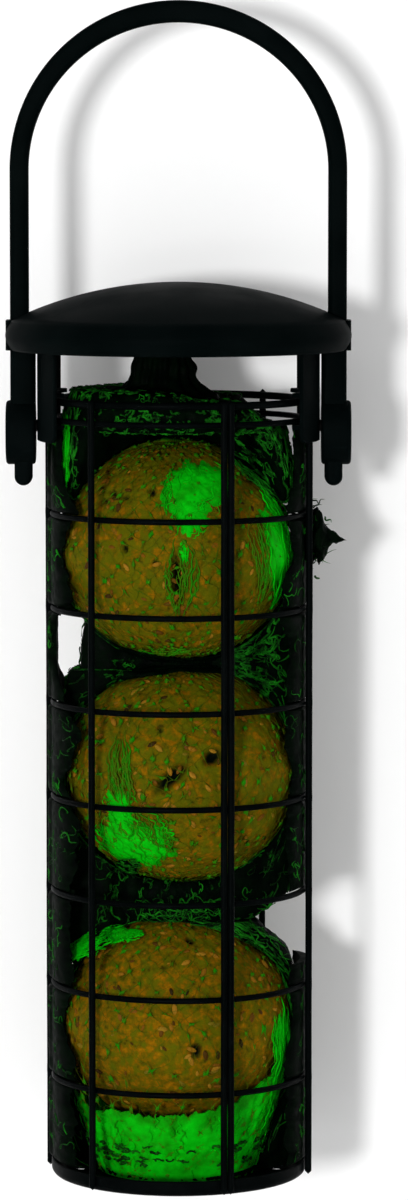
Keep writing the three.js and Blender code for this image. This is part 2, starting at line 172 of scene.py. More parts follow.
def unit(vectors):
    return vectors / np.maximum(np.linalg.norm(vectors, axis=-1, keepdims=True), 1e-12)


# Corner numbers of the quads of a grid of points, row after row
def gridFaces(rows, columns, closeRows):
    down = np.arange(rows if closeRows else rows - 1)[:, None]
    across = np.arange(columns)[None, :]
    below, beside = (down + 1) % rows, (across + 1) % columns
    corners = [down * columns + across, down * columns + beside, below * columns + beside,
               below * columns + across]
    return np.stack([c.ravel() for c in corners], axis=1)


# Triangles that close the first and the last row of a grid with a point each
def tipFaces(rows, columns):
    along = np.arange(columns)
    after = (along + 1) % columns
    last = (rows - 1) * columns
    first = np.full(columns, rows * columns)
    start = np.stack([first, after, along], axis=1)
    end = np.stack([first + 1, last + along, last + after], axis=1)
    return np.concatenate([start, end])


def addMesh(name, points, faces, shade=None, sharpAngle=50):
    corners = points[faces[0][:, :3]]
    inward = np.einsum("ij,ij->i", corners[:, 0], np.cross(corners[:, 1], corners[:, 2])).sum() < 0
    faces = [f[:, ::-1] if inward else f for f in faces]
    mesh = bpy.data.meshes.new(name)
    counts = np.concatenate([np.full(len(f), f.shape[1]) for f in faces])
    loops = np.concatenate([f.ravel() for f in faces])
    mesh.vertices.add(len(points))
    mesh.vertices.foreach_set("co", points.astype(np.float32).ravel())
    mesh.loops.add(len(loops))
    mesh.loops.foreach_set("vertex_index", loops.astype(np.int32))
    mesh.polygons.add(len(counts))
    mesh.polygons.foreach_set("loop_start", np.concatenate([[0], np.cumsum(counts)[:-1]]).astype(np.int32))
    mesh.update(calc_edges=True)
    mesh.polygons.foreach_set("use_smooth", np.ones(len(counts), bool))
    mesh.set_sharp_from_angle(angle=radians(sharpAngle))
    if shade is not None:
        mesh.attributes.new("shade", "FLOAT", "POINT").data.foreach_set("value",
                                                                        shade.astype(np.float32).ravel())
    made = bpy.data.objects.new(name, mesh)
    bpy.context.scene.collection.objects.link(made)
    return made


# A grid whose rows are rings, closed by a tip point at each end
def tippedShape(name, rings, tips, shade=None):
    rows, columns = rings.shape[:2]
    points = np.concatenate([rings.reshape(-1, 3), tips])
    return addMesh(name, points, [gridFaces(rows, columns, False), tipFaces(rows, columns)], shade)


# A grid that closes on itself both ways, as a torus does
def ringShape(name, grid):
    rows, columns = grid.shape[:2]
    return addMesh(name, grid.reshape(-1, 3), [gridFaces(rows, columns, True)])


# Two skins of a thin wall, as grids of one size, joined by a strip along each of their four edges
def wallShape(name, outer, inner, shade):
    rows, columns = outer.shape[:2]
    grid = np.concatenate([outer, inner[:, ::-1]], axis=1)
    low = np.arange(columns - 1)
    strip = np.stack([low, low + 1, 2 * columns - 2 - low, 2 * columns - 1 - low], axis=1)
    strips = [strip[:, ::-1], strip + (rows - 1) * 2 * columns]
    return addMesh(name, grid.reshape(-1, 3), [gridFaces(rows, 2 * columns, False), *strips],
                   shade(grid).ravel())


# Tubes along many paths at once: round each path point a ring of sides, spanned by the direction
# that is square to the path and to outward, and the one square to both
def tubes(paths, radius, outward, sides=4):
    run = unit(np.gradient(paths, axis=1))
    side = unit(np.cross(run, outward))
    lift = np.cross(side, run)
    angle = np.arange(sides) * fullTurn / sides
    spokes = np.cos(angle)[:, None] * side[:, :, None] + np.sin(angle)[:, None] * lift[:, :, None]
    rings = paths[:, :, None] + radius[:, :, None, None] * spokes
    strands, steps = paths.shape[:2]
    tips = np.stack([paths[:, 0] - run[:, 0] * radius[:, :1], paths[:, -1] + run[:, -1] * radius[:, -1:]],
                    axis=1)
    points = np.concatenate([rings.reshape(strands, -1, 3), tips], axis=1)
    offset = (np.arange(strands) * points.shape[1])[:, None, None]
    faces = [gridFaces(steps, sides, False), tipFaces(steps, sides)]
    return points.reshape(-1, 3), [(f + offset).reshape(-1, f.shape[1]) for f in faces]


# The shade is one value for each strand, or one for each step along it
def tubePiece(name, paths, radius, outward, shade, sides=4):
    points, faces = tubes(paths, radius, outward, sides)
    shade = np.broadcast_to(shade.reshape(len(paths), -1), paths.shape[:2])
    rings = np.repeat(shade, sides, axis=1)
    return addMesh(name, points, faces, np.concatenate([rings, shade[:, [0, -1]]], axis=1), 100)


# A profile of radius and height turned about Z
def turned(name, profile, steps):
    profile = np.asarray(profile, float)
    turn = np.arange(steps) * fullTurn / steps
    radius, height = profile[1:-1, 0, None], profile[1:-1, 1, None] + 0 * turn
    grid = np.stack([radius * np.cos(turn), radius * np.sin(turn), height], axis=-1)
    tips = np.array([[0, 0, profile[0, 1]], [0, 0, profile[-1, 1]]])
    return tippedShape(name, grid, tips)


# A rounded rectangle as unit offsets: points of four quarter circles
def roundedSection(width, depth, corner, steps=5):
    quarter = np.arange(4)[:, None] * np.pi / 2 + np.linspace(0, np.pi / 2, steps)
    signX = np.sign(np.cos(np.pi / 4 + np.arange(4) * np.pi / 2))[:, None] + 0 * quarter
    signY = np.sign(np.sin(np.pi / 4 + np.arange(4) * np.pi / 2))[:, None] + 0 * quarter
    quarter, signX, signY = quarter.ravel(), signX.ravel(), signY.ravel()
    width, depth, corner = (np.atleast_1d(v)[:, None] for v in (width, depth, corner))
    across = signX * (width / 2 - corner) + corner * np.cos(quarter)
    along = signY * (depth / 2 - corner) + corner * np.sin(quarter)
    return across, along


def takeFrom(target, tool, operation):
    cut = target.modifiers.new(operation, "BOOLEAN")
    cut.object = tool
    cut.operation = operation
    cut.solver = "EXACT"
    bpy.context.view_layer.update()
    mesh = bpy.data.meshes.new_from_object(target.evaluated_get(bpy.context.evaluated_depsgraph_get()))
    target.modifiers.clear()
    target.data = mesh
    bpy.data.objects.remove(tool)
    mesh.polygons.foreach_set("use_smooth", np.ones(len(mesh.polygons), bool))
    mesh.set_sharp_from_angle(angle=radians(35))


def moved(piece, matrix):
    piece.data.transform(matrix)
    return piece


def bar(name, radius, start, end, axis, steps=48):
    piece = turned(name, [[0, start], [radius, start], [radius, end], [0, end]], steps)
    return moved(piece, Matrix(np.array(axis).T.tolist()).to_4x4())


def dress(piece, body, material, slotName, *nodes):
    piece.data.materials.clear()
    piece.data.materials.append(material)
    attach(piece, body)
    if nodes:
        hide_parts(*nodes)
    return piece


from mathutils import Matrix

xAxis = [[0, 1, 0], [0, 0, 1], [1, 0, 0]]
zAxis = [[1, 0, 0], [0, 1, 0], [0, 0, 1]]


# Materials

def node(tree, kind, inputs=None, **settings):
    made = tree.nodes.new(kind)
    for key, value in settings.items():
        setattr(made, key, value)
    for key, value in (inputs or {}).items():
        if isinstance(value, bpy.types.NodeSocket):
            tree.links.new(value, made.inputs[key])
        else:
            made.inputs[key].default_value = value
    return made


def ramp(tree, factor, stops):
    made = node(tree, "ShaderNodeValToRGB", {"Fac": factor})
    elements = made.color_ramp.elements
    while len(elements) < len(stops):
        elements.new(0.5)
    for element, (at, colour) in zip(elements, stops):
        element.position = at
        element.color = (*colour, 1)
    return made.outputs["Color"]


def mixColour(tree, factor, first, second):
    made = node(tree, "ShaderNodeMix", data_type="RGBA")
    for socket, value in zip((made.inputs[0], made.inputs[6], made.inputs[7]), (factor, first, second)):
        if isinstance(value, bpy.types.NodeSocket):
            tree.links.new(value, socket)
        elif socket is made.inputs[0]:
            socket.default_value = value
        else:
            socket.default_value = (*value, 1)
    return made.outputs[2]


def spread(tree, value, low, high, toLow=0.0, toHigh=1.0):
    inputs = {"Value": value, "From Min": low, "From Max": high, "To Min": toLow, "To Max": toHigh}
    return node(tree, "ShaderNodeMapRange", inputs).outputs["Result"]


# Grain for every hard surface: fine height, and a mask of larger, softer patches
def makeGrainGroup():
    group = bpy.data.node_groups.new("grain", "ShaderNodeTree")
    for name, value in (("Fine Scale", 2200), ("Patch Scale", 60)):
        socket = group.interface.new_socket(name, in_out="INPUT", socket_type="NodeSocketFloat")
        socket.default_value = value
    group.interface.new_socket("Height", in_out="OUTPUT", socket_type="NodeSocketFloat")
    group.interface.new_socket("Patch", in_out="OUTPUT", socket_type="NodeSocketFloat")
    ends = {"in": group.nodes.new("NodeGroupInput"), "out": group.nodes.new("NodeGroupOutput")}
    place = node(group, "ShaderNodeTexCoord").outputs["Object"]
    fine = node(group, "ShaderNodeTexNoise",
                {"Vector": place, "Scale": ends["in"].outputs["Fine Scale"], "Detail": 3.0})
    patch = node(group, "ShaderNodeTexNoise",
                 {"Vector": place, "Scale": ends["in"].outputs["Patch Scale"], "Detail": 6.0})
    group.links.new(fine.outputs["Fac"], ends["out"].inputs["Height"])
    group.links.new(spread(group, patch.outputs["Fac"], 0.4, 0.66), ends["out"].inputs["Patch"])
    return group


def startMaterial(name):
    material = bpy.data.materials.new(name)
    material.use_nodes = True
    return material, material.node_tree, material.node_tree.nodes["Principled BSDF"]


def connect(tree, shader, **inputs):
    names = {"colour": "Base Color", "roughness": "Roughness", "normal": "Normal", "metallic": "Metallic"}
    for key, value in inputs.items():
        tree.links.new(value, shader.inputs[names[key]])


# A hard dark finish: patches of two colours and two roughnesses, over a fine grain
def hardFinish(name, look, group):
    material, tree, shader = startMaterial(name)
    grain = node(tree, "ShaderNodeGroup")
    grain.node_tree = group
    grain.inputs["Fine Scale"].default_value = look["fineScale"]
    grain.inputs["Patch Scale"].default_value = look["patchScale"]
    patch = grain.outputs["Patch"]
    colour = mixColour(tree, patch, look["colour"], look["patchColour"])
    roughness = spread(tree, patch, 0, 1, look["roughness"], look["patchRoughness"])
    height = {"Height": grain.outputs["Height"], "Strength": look["bump"], "Distance": look["depth"]}
    bump = node(tree, "ShaderNodeBump", height)
    connect(tree, shader, colour=colour, roughness=roughness, normal=bump.outputs["Normal"])
    shader.inputs["Specular IOR Level"].default_value = look["gloss"]
    shader.inputs["Metallic"].default_value = look["metal"]
    return material


blackPlastic = {
    "colour": (0.0006, 0.0018, 0.0018), "patchColour": (0.0016, 0.0030, 0.0030),
    "roughness": 0.46, "patchRoughness": 0.60, "fineScale": 2600, "patchScale": 70,
    "bump": 0.25, "depth": 0.06 * mm, "gloss": 0.005, "metal": 0.0,
}
coatedWire = {
    "colour": (0.0006, 0.0012, 0.0012), "patchColour": (0.0014, 0.0022, 0.0022),
    "roughness": 0.34, "patchRoughness": 0.5, "fineScale": 1300, "patchScale": 160,
    "bump": 0.35, "depth": 0.08 * mm, "gloss": 0.008, "metal": 0.0,
}
darkRivet = {
    "colour": (0.010, 0.010, 0.010), "patchColour": (0.022, 0.020, 0.018),
    "roughness": 0.36, "patchRoughness": 0.6, "fineScale": 3000, "patchScale": 400,
    "bump": 0.2, "depth": 0.04 * mm, "gloss": 0.3, "metal": 0.6,
}


# Pressed fat with meal and seed: two sizes of mottle pick the colour, and the dents are darkened with painted
# shade
def suetFinish():
    look = {
        "stops": [
            (0.30, (0.034, 0.026, 0.0004)), (0.40, (0.078, 0.062, 0.0006)), (0.49, (0.118, 0.074, 0.0006)),
            (0.57, (0.180, 0.078, 0.0005)), (0.70, (0.270, 0.115, 0.0010)),
        ],
        "olive": (0.076, 0.084, 0.0008), "greener": (-0.21, -0.25), "dentShade": (0.0008, 0.0022, 0.0008),
        "gloss": 0.02,
    }
    material, tree, shader = startMaterial("pressedSuet")
    place = node(tree, "ShaderNodeTexCoord").outputs["Object"]
    meal = node(tree, "ShaderNodeTexNoise",
                {"Vector": place, "Scale": 520.0, "Detail": 5.0, "Roughness": 0.62})
    zone = node(tree, "ShaderNodeTexNoise", {"Vector": place, "Scale": 380.0, "Detail": 3.0})
    crumb = node(tree, "ShaderNodeTexVoronoi", {"Vector": place, "Scale": 620.0})
    colour = ramp(tree, meal.outputs["Fac"], look["stops"])
    height = node(tree, "ShaderNodeSeparateXYZ", {"Vector": place}).outputs["Z"]
    bias = spread(tree, height, *look["greener"], 0.035, -0.03)
    zone = node(tree, "ShaderNodeMath", {0: zone.outputs["Fac"], 1: bias}, operation="ADD")
    colour = mixColour(tree, spread(tree, zone.outputs[0], 0.44, 0.60, 0.0, 0.85), colour, look["olive"])
    # Painted shade in the dents, read from the ball's shade attribute
    dentShade = node(tree, "ShaderNodeAttribute", attribute_name="shade")
    colour = mixColour(tree, dentShade.outputs["Fac"], colour, look["dentShade"])
    height = node(tree, "ShaderNodeMath", {0: meal.outputs["Fac"], 1: crumb.outputs["Distance"]},
                  operation="SUBTRACT")
    bump = node(tree, "ShaderNodeBump", {"Height": height.outputs[0], "Strength": 0.5, "Distance": 0.35 * mm})
    roughness = spread(tree, meal.outputs["Fac"], 0.3, 0.7, 0.62, 0.9)
    connect(tree, shader, colour=colour, roughness=roughness, normal=bump.outputs["Normal"])
    shader.inputs["Specular IOR Level"].default_value = look["gloss"]
    return material


# Seed and husk: each bit has its own shade from dark hull to pale kernel
def seedFinish():
    material, tree, shader = startMaterial("seedAndHusk")
    stops = [
        (0.0, (0.012, 0.008, 0.0010)), (0.2, (0.075, 0.030, 0.0015)), (0.5, (0.190, 0.075, 0.0025)),
        (0.8, (0.270, 0.130, 0.0080)), (1.0, (0.100, 0.092, 0.0040)),
    ]
    own = node(tree, "ShaderNodeAttribute", attribute_name="shade")
    place = node(tree, "ShaderNodeTexCoord").outputs["Object"]
    stripe = node(tree, "ShaderNodeTexNoise", {"Vector": place, "Scale": 1800.0, "Detail": 2.0})
    colour = mixColour(tree, spread(tree, stripe.outputs["Fac"], 0.5, 0.8, 0, 0.5),
                       ramp(tree, own.outputs["Fac"], stops), (0.05, 0.03, 0.001))
    bump = node(tree, "ShaderNodeBump",
                {"Height": stripe.outputs["Fac"], "Strength": 0.4, "Distance": 0.1 * mm})
    connect(tree, shader, colour=colour,
        roughness=spread(tree, stripe.outputs["Fac"], 0.3, 0.7, 0.45, 0.75), normal=bump.outputs["Normal"])
    shader.inputs["Specular IOR Level"].default_value = 0.05
    return material


# Extruded net: the shade of each strand runs from the darkest to the brightest green
def netFinish(name, dark, bright, scale, gloss=0.03):
    material, tree, shader = startMaterial(name)
    own = node(tree, "ShaderNodeAttribute", attribute_name="shade")
    place = node(tree, "ShaderNodeTexCoord").outputs["Object"]
    streak = node(tree, "ShaderNodeTexNoise", {"Vector": place, "Scale": scale, "Detail": 4.0})
    level = node(tree, "ShaderNodeMath",
        {0: own.outputs["Fac"], 1: spread(tree, streak.outputs["Fac"], 0.3, 0.7, -0.35, 0.35)},
        operation="ADD", use_clamp=True)
    colour = mixColour(tree, level.outputs[0], dark, bright)
    bump = node(tree, "ShaderNodeBump",
                {"Height": streak.outputs["Fac"], "Strength": 0.3, "Distance": 0.1 * mm})
    connect(tree, shader, colour=colour, roughness=spread(tree, streak.outputs["Fac"], 0.3, 0.7, 0.4, 0.65),
            normal=bump.outputs["Normal"])
    shader.inputs["Specular IOR Level"].default_value = gloss
    return material


grainGroup = makeGrainGroup()
plasticMaterial = hardFinish("blackPlastic", blackPlastic, grainGroup)
wireMaterial = hardFinish("coatedWire", coatedWire, grainGroup)
rivetMaterial = hardFinish("darkRivet", darkRivet, grainGroup)
suetMaterial = suetFinish()
seedMaterial = seedFinish()
netMaterial = netFinish("greenNet", (0.060, 0.068, 0.001), (0.010, 0.175, 0.001), 900.0)
looseMaterial = netFinish("looseNet", (0.0015, 0.010, 0.0015), (0.008, 0.17, 0.006), 700.0)
# Near-black net is painted shade: the folds, flaps, tail, pads, bands and tuft that wear it fill the feeder's
# gaps that lie in shade
shadedFoldMaterial = netFinish("foldedNetInShade", (0.0003, 0.0010, 0.0006), (0.0006, 0.0034, 0.0009), 500.0, 0.008)
patchMaterial = netFinish("bunchedNet", (0.004, 0.20, 0.001), (0.001, 0.44, 0.003), 420.0, 0.02)
print("materials made")


# Bail: a rounded section carried from one leg's tip over the crown to the other's

swing = next(joint for joint in frame["joints"] if joint["name"] == "cage_swing")
pivotZ = swing["pos_m"][2]
bailLow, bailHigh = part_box("bail_handle")
lidLow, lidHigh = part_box("lid")

bail = {
    "eyeProud": 1.2 * mm, "legThickness": 5 * mm, "legStep": 1.75 * mm, "depth": 6.6 * mm, "round": 1.5 * mm,
    "lidGap": 0.3 * mm, "tailInset": 1.05 * mm, "tailWidth": 4.8 * mm, "eyeRadius": 6.8 * mm,
    "eyeLength": 3.6 * mm,
    "eyeRound": 0.9 * mm, "sinkDepth": 1.5 * mm, "sinkRadius": 3.4 * mm, "holeRadius": 1.8 * mm,
    "archSteps": 72,
}
legOuter = bailHigh[0] - bail["eyeProud"]
legInner = legOuter - bail["legThickness"]
eyeInner = legInner - bail["legStep"]
archZ = bailHigh[2] - legOuter
stopZ = lidLow[2] - bail["lidGap"]


# Outer and inner edge of the right leg, station by station: a half circle outside and a half
# ellipse inside over the crown, then the straight leg, the lid's step, the taper and the round tip
def bailEdges():
    arch = np.linspace(np.pi / 2, 0, bail["archSteps"])
    outer = [np.stack([legOuter * np.cos(arch), archZ + legOuter * np.sin(arch)], axis=1)]
    inner = [np.stack([legInner * np.cos(arch), archZ - archZ * np.sin(arch)], axis=1)]
    tipRadius = bail["tailWidth"] / 2
    tailOuter = legOuter - bail["tailInset"]
    tipZ = bailLow[2] + tipRadius
    stepRound = 0.25 * mm
    stations = [
        (stopZ + stepRound, legOuter, legInner), (stopZ, legOuter, legInner),
        (stopZ, legOuter, eyeInner + stepRound),
        (stopZ - stepRound, legOuter, eyeInner), (pivotZ, legOuter, eyeInner),
        (pivotZ - bail["eyeLength"], tailOuter, tailOuter - bail["tailWidth"]),
        (tipZ, tailOuter, tailOuter - bail["tailWidth"]),
    ]
    outer.append(np.array([[x, z] for z, x, _ in stations]))
    inner.append(np.array([[x, z] for z, _, x in stations]))
    tip = np.linspace(0, np.pi / 2, 9)[1:-1]
    for edges, side in ((outer, 1), (inner, -1)):
        across = tailOuter - tipRadius + side * tipRadius * np.cos(tip)
        edges.append(np.stack([across, tipZ - tipRadius * np.sin(tip)], axis=1))
    return np.concatenate(outer), np.concatenate(inner), (tailOuter - tipRadius, bailLow[2])


# Rows of a long round boss: a stadium that turns into a circle at the sunk face and the hole
def eyeRows():
    outerX = bailHigh[0]
    edge, sink = bail["eyeRound"], outerX - bail["sinkDepth"]
    quarter = np.linspace(0, np.pi / 2, 5)
    big, sunk, hole = bail["eyeRadius"], bail["sinkRadius"], bail["holeRadius"]
    rows = [(hole, eyeInner, 0)]
    rows += [(big - edge + edge * np.sin(q), eyeInner + edge - edge * np.cos(q), 1) for q in quarter]
    rows += [(big - edge + edge * np.cos(q), outerX - edge + edge * np.sin(q), 1) for q in quarter]
    rows += [(sunk + 0.3 * mm, outerX, 0), (sunk, outerX - 0.3 * mm, 0), (sunk, sink, 0), (hole, sink, 0)]
    return np.array(rows)


def makeEye(side):
    rows = eyeRows()
    turn = np.arange(64) * fullTurn / 64
    drop = np.where(np.sin(turn) < 0, bail["eyeLength"], 0)
    radius, across, long = (rows[:, i, None] for i in range(3))
    y = radius * np.cos(turn)
    z = pivotZ + radius * np.sin(turn) - drop * long
    return ringShape("eye", np.stack([side * (across + 0 * y), y, z], axis=-1))


def makeBail():
    outer, inner, tip = bailEdges()
    across = np.linalg.norm(outer - inner, axis=1)
    corner = np.minimum(bail["round"], 0.46 * across)
    wide, deep = roundedSection(across, bail["depth"] - 2 * (bail["round"] - corner), corner)
    middle, toward = (outer + inner) / 2, (outer - inner) / across[:, None]
    x = middle[:, 0, None] + wide * toward[:, 0, None]
    z = middle[:, 1, None] + wide * toward[:, 1, None]
    right = np.stack([x, deep, z], axis=-1)
    left = right[:0:-1] * np.array([-1, 1, 1])
    rings = np.concatenate([left, right])
    tips = np.array([[-tip[0], 0, tip[1]], [tip[0], 0, tip[1]]])
    made = tippedShape("bail", rings, tips)
    shank = bail["holeRadius"]
    for side in (-1, 1):
        takeFrom(made, makeEye(side), "UNION")
    reach = 60 * mm
    takeFrom(made, moved(bar("hole", shank, -reach, reach, xAxis), Matrix.Translation((0, 0, pivotZ))),
             "DIFFERENCE")
    for side in (-1, 1):
        start, end = sorted((side * (bailHigh[0] - bail["sinkDepth"]), side * reach))
        sink = moved(bar("sink", bail["sinkRadius"], start, end, xAxis), Matrix.Translation((0, 0, pivotZ)))
        takeFrom(made, sink, "DIFFERENCE")
    return made


dress(makeBail(), "bail", plasticMaterial, "black_plastic", "bail_handle")
print("bail made")


# Lid: a spherical crown with a rolled bead, and a guide boss with a slot for each leg

lid = {
    "skirtHeight": 8 * mm, "beadProud": 1.6 * mm, "wall": 1.3 * mm, "guideClearance": 0.45 * mm,
    "guideWall": 1.3 * mm, "guideCorner": 1.6 * mm, "edgeRound": 0.35 * mm, "steps": 160,
}


def slabPiece(name, fromX, toX, halfY, corner, fromZ, toZ):
    across, along = roundedSection(toX - fromX, 2 * halfY, corner, 7)
    x, y = (fromX + toX) / 2 + across[0], along[0]
    rings = np.stack([np.stack([x, y, 0 * x + z], axis=-1) for z in (fromZ, toZ)])
    tips = np.array([[(fromX + toX) / 2, 0, fromZ], [(fromX + toX) / 2, 0, toZ]])
    return tippedShape(name, rings, tips)


# Crown height over a radius is that of the sphere through the crown's top and the bead's upper edge
def makeLid():
    lidRadius = lidHigh[0]
    crown, skirt, proud = lidHigh[2] - lidLow[2], lid["skirtHeight"], lid["beadProud"]
    edge = lidRadius - proud
    sphere = (edge ** 2 + (crown - skirt) ** 2) / (2 * (crown - skirt))
    centre = crown - sphere

    def wallRows(radius, outer, steps):
        r = np.linspace(0, outer, steps)
        dome = np.stack([r, centre + np.sqrt(radius ** 2 - r ** 2)], axis=1)
        share = np.linspace(0, 1, 18)[1:-1]
        top = dome[-1, 1]
        bead = np.stack([outer + proud * np.sin(np.pi * share), top * (1 - share)], axis=1)
        return np.concatenate([dome, bead])

    outside = wallRows(sphere, edge, 26)
    inside = wallRows(sphere - lid["wall"], edge - lid["wall"], 26)
    lip = np.array([[edge, lid["edgeRound"]], [edge - lid["edgeRound"], 0],
                    [edge - lid["wall"] + lid["edgeRound"], 0]])
    made = turned("lidShell", np.concatenate([outside, lip, inside[::-1]]), lid["steps"])
    gap = lid["guideClearance"]
    slotIn, slotOut, slotHalf = legInner - gap, legOuter + gap, bail["depth"] / 2 + gap
    for side in (-1, 1):
        wall = lid["guideWall"]
        guide = slabPiece("guide", slotIn - wall, lidRadius - 0.2 * mm, slotHalf + wall, lid["guideCorner"],
                          0.02 * mm, skirt)
        slot = slabPiece("slot", slotIn, slotOut, slotHalf, bail["round"], -5 * mm, crown + 5 * mm)
        if side < 0:
            moved(guide, Matrix.Rotation(np.pi, 4, "Z"))
            moved(slot, Matrix.Rotation(np.pi, 4, "Z"))
        takeFrom(made, guide, "UNION")
        takeFrom(made, slot, "DIFFERENCE")
    return moved(made, Matrix.Translation((0, 0, lidLow[2])))


dress(makeLid(), "lid", plasticMaterial, "black_plastic", "lid")
print("lid made")


# Cage: rings with a weld nub at each upright, round uprights, a pressed dish, side brackets, rivets

cage = {
    "ringWire": 1.6 * mm, "rimWire": 2.0 * mm, "uprightWire": 1.8 * mm, "weldGap": 0.15 * mm,
    "ringSteps": 252,
    "wander": 0.09 * mm, "weldWidth": 1.5, "weldProud": 0.16 * mm,
}
ringNames = ["rim_ring"] + [f"mesh_ring_{i}" for i in range(1, 9)]
uprightNames = [f"upright_wire_{i}" for i in range(1, 8)]
ringHeights = [(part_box(name)[0][2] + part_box(name)[1][2]) / 2 for name in ringNames]
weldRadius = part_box("mesh_ring_1")[1][0]
uprightRadius = weldRadius + cage["weldGap"] + cage["uprightWire"] / 2


# A wire's turn from the front of the cage, toward +X, read from where its box lies
def uprightTurn(name):
    low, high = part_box(name)
    return np.arctan2((low[0] + high[0]) / 2, -(low[1] + high[1]) / 2)


uprightTurns = np.array([uprightTurn(name) for name in uprightNames])


def turnGap(turn, other):
    return (turn - other + np.pi) % fullTurn - np.pi


# A torus whose section swells a little outwards at each weld and whose line wanders slightly
def makeRing(name, height, wire, seed):
    turn = np.arange(cage["ringSteps"]) * fullTurn / cage["ringSteps"]
    around = np.arange(12) * fullTurn / 12
    gaps = turnGap(turn[:, None], uprightTurns[None, :])
    weld = np.exp(-(gaps / radians(cage["weldWidth"])) ** 2).max(axis=1)
    line = np.stack([np.cos(turn), np.sin(turn), 0 * turn], axis=1) * 20 * mm
    radius = weldRadius - wire / 2 + cage["wander"] * ripples(line, 60 * mm, seed) * (1 - weld)
    rise = cage["wander"] * ripples(line, 45 * mm, seed + 1)
    swell = cage["weldProud"] * weld[:, None] * np.maximum(np.cos(around), -0.2)
    thick = wire / 2 + swell
    r = radius[:, None] + thick * np.cos(around)
    z = height + rise[:, None] + thick * np.sin(around)
    grid = np.stack([r * np.sin(turn)[:, None], -r * np.cos(turn)[:, None], z], axis=-1)
    return ringShape(name, grid)


# A round wire on a nearly straight line, a little thicker where the coat gathers at each ring
def makeUpright(name, turn, seed):
    low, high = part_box(name)
    wire = cage["uprightWire"] / 2
    z = np.linspace(low[2] + wire * 0.6, high[2] - wire * 0.4, 230)
    nearRing = np.abs(z[:, None] - np.array(ringHeights)).min(axis=1)
    thick = wire * (1 + 0.06 * np.exp(-(nearRing / (1.2 * mm)) ** 2))
    line = np.stack([0 * z, 0 * z, z], axis=1)
    sway = 0.06 * mm * ripples(line, 40 * mm, seed)
    r = uprightRadius + sway * 0.5
    path = np.stack([r * np.sin(turn) + sway * np.cos(turn), -r * np.cos(turn) + sway * np.sin(turn), z],
                    axis=1)
    outward = np.array([np.sin(turn), -np.cos(turn), 0]) + 0 * path
    points, faces = tubes(path[None], thick[None], outward[None], 14)
    return addMesh(name, points, faces)


def makeDish():
    dish = {"wall": 1.0 * mm, "corner": 2.0 * mm, "drain": 2.6 * mm, "circleInset": 6 * mm,
            "centre": 3.2 * mm, "lip": 0.25 * mm}
    low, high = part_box("base_dish")
    outer, tall, wall, corner = high[0], high[2] - low[2], dish["wall"], dish["corner"]
    quarter = np.linspace(0, np.pi / 2, 10)
    bend = np.stack([np.sin(quarter), 1 - np.cos(quarter)], axis=1)
    outside = bend * corner + [outer - corner, 0]
    inside = (bend * (corner - wall) + [outer - corner, wall])[::-1]
    rim = [[outer, tall - dish["lip"]], [outer - dish["lip"], tall], [outer - wall + dish["lip"], tall],
           [outer - wall, tall - dish["lip"]]]
    profile = np.concatenate([[[0, 0]], outside, rim, inside, [[0, wall]]])
    made = turned("baseDish", profile, 160)
    holes = [(dish["centre"], 0, 0)]
    circle = outer - corner - dish["circleInset"]
    holes += [(dish["drain"], circle * np.cos(a), circle * np.sin(a)) for a in np.arange(6) * fullTurn / 6]
    for radius, x, y in holes:
        tool = moved(bar("drain", radius, -5 * mm, 5 * mm, zAxis, 40), Matrix.Translation((x, y, 0)))
        takeFrom(made, tool, "DIFFERENCE")
    return moved(made, Matrix.Translation((0, 0, low[2])))


bracket = {
    "gap": 0.2 * mm, "wall": 1.2 * mm, "halfTurn": 29.5, "above": 21 * mm, "below": 3.8 * mm,
    "corner": 2.4 * mm,
    "hole": 1.75 * mm, "lipReach": 3.6 * mm, "lipWall": 1.2 * mm, "lipGap": 0.3 * mm, "upperHalfTurn": 24,
    "lowerTurns": (14, 24), "edge": 0.3 * mm,
}


# Part of a ring with a rounded square section, between two turns from the X axis
def arcBar(name, turns, inner, outer, low, high):
    across, along = roundedSection(outer - inner, high - low, 0.3 * mm, 4)
    turn = np.radians(np.linspace(turns[0], turns[1], 40))[:, None]
    r, z = (outer + inner) / 2 + across, (high + low) / 2 + along
    rings = np.stack([r * np.cos(turn), r * np.sin(turn), z + 0 * turn], axis=-1)
    tips = rings[[0, -1]].mean(axis=1)
    return tippedShape(name, rings, tips)


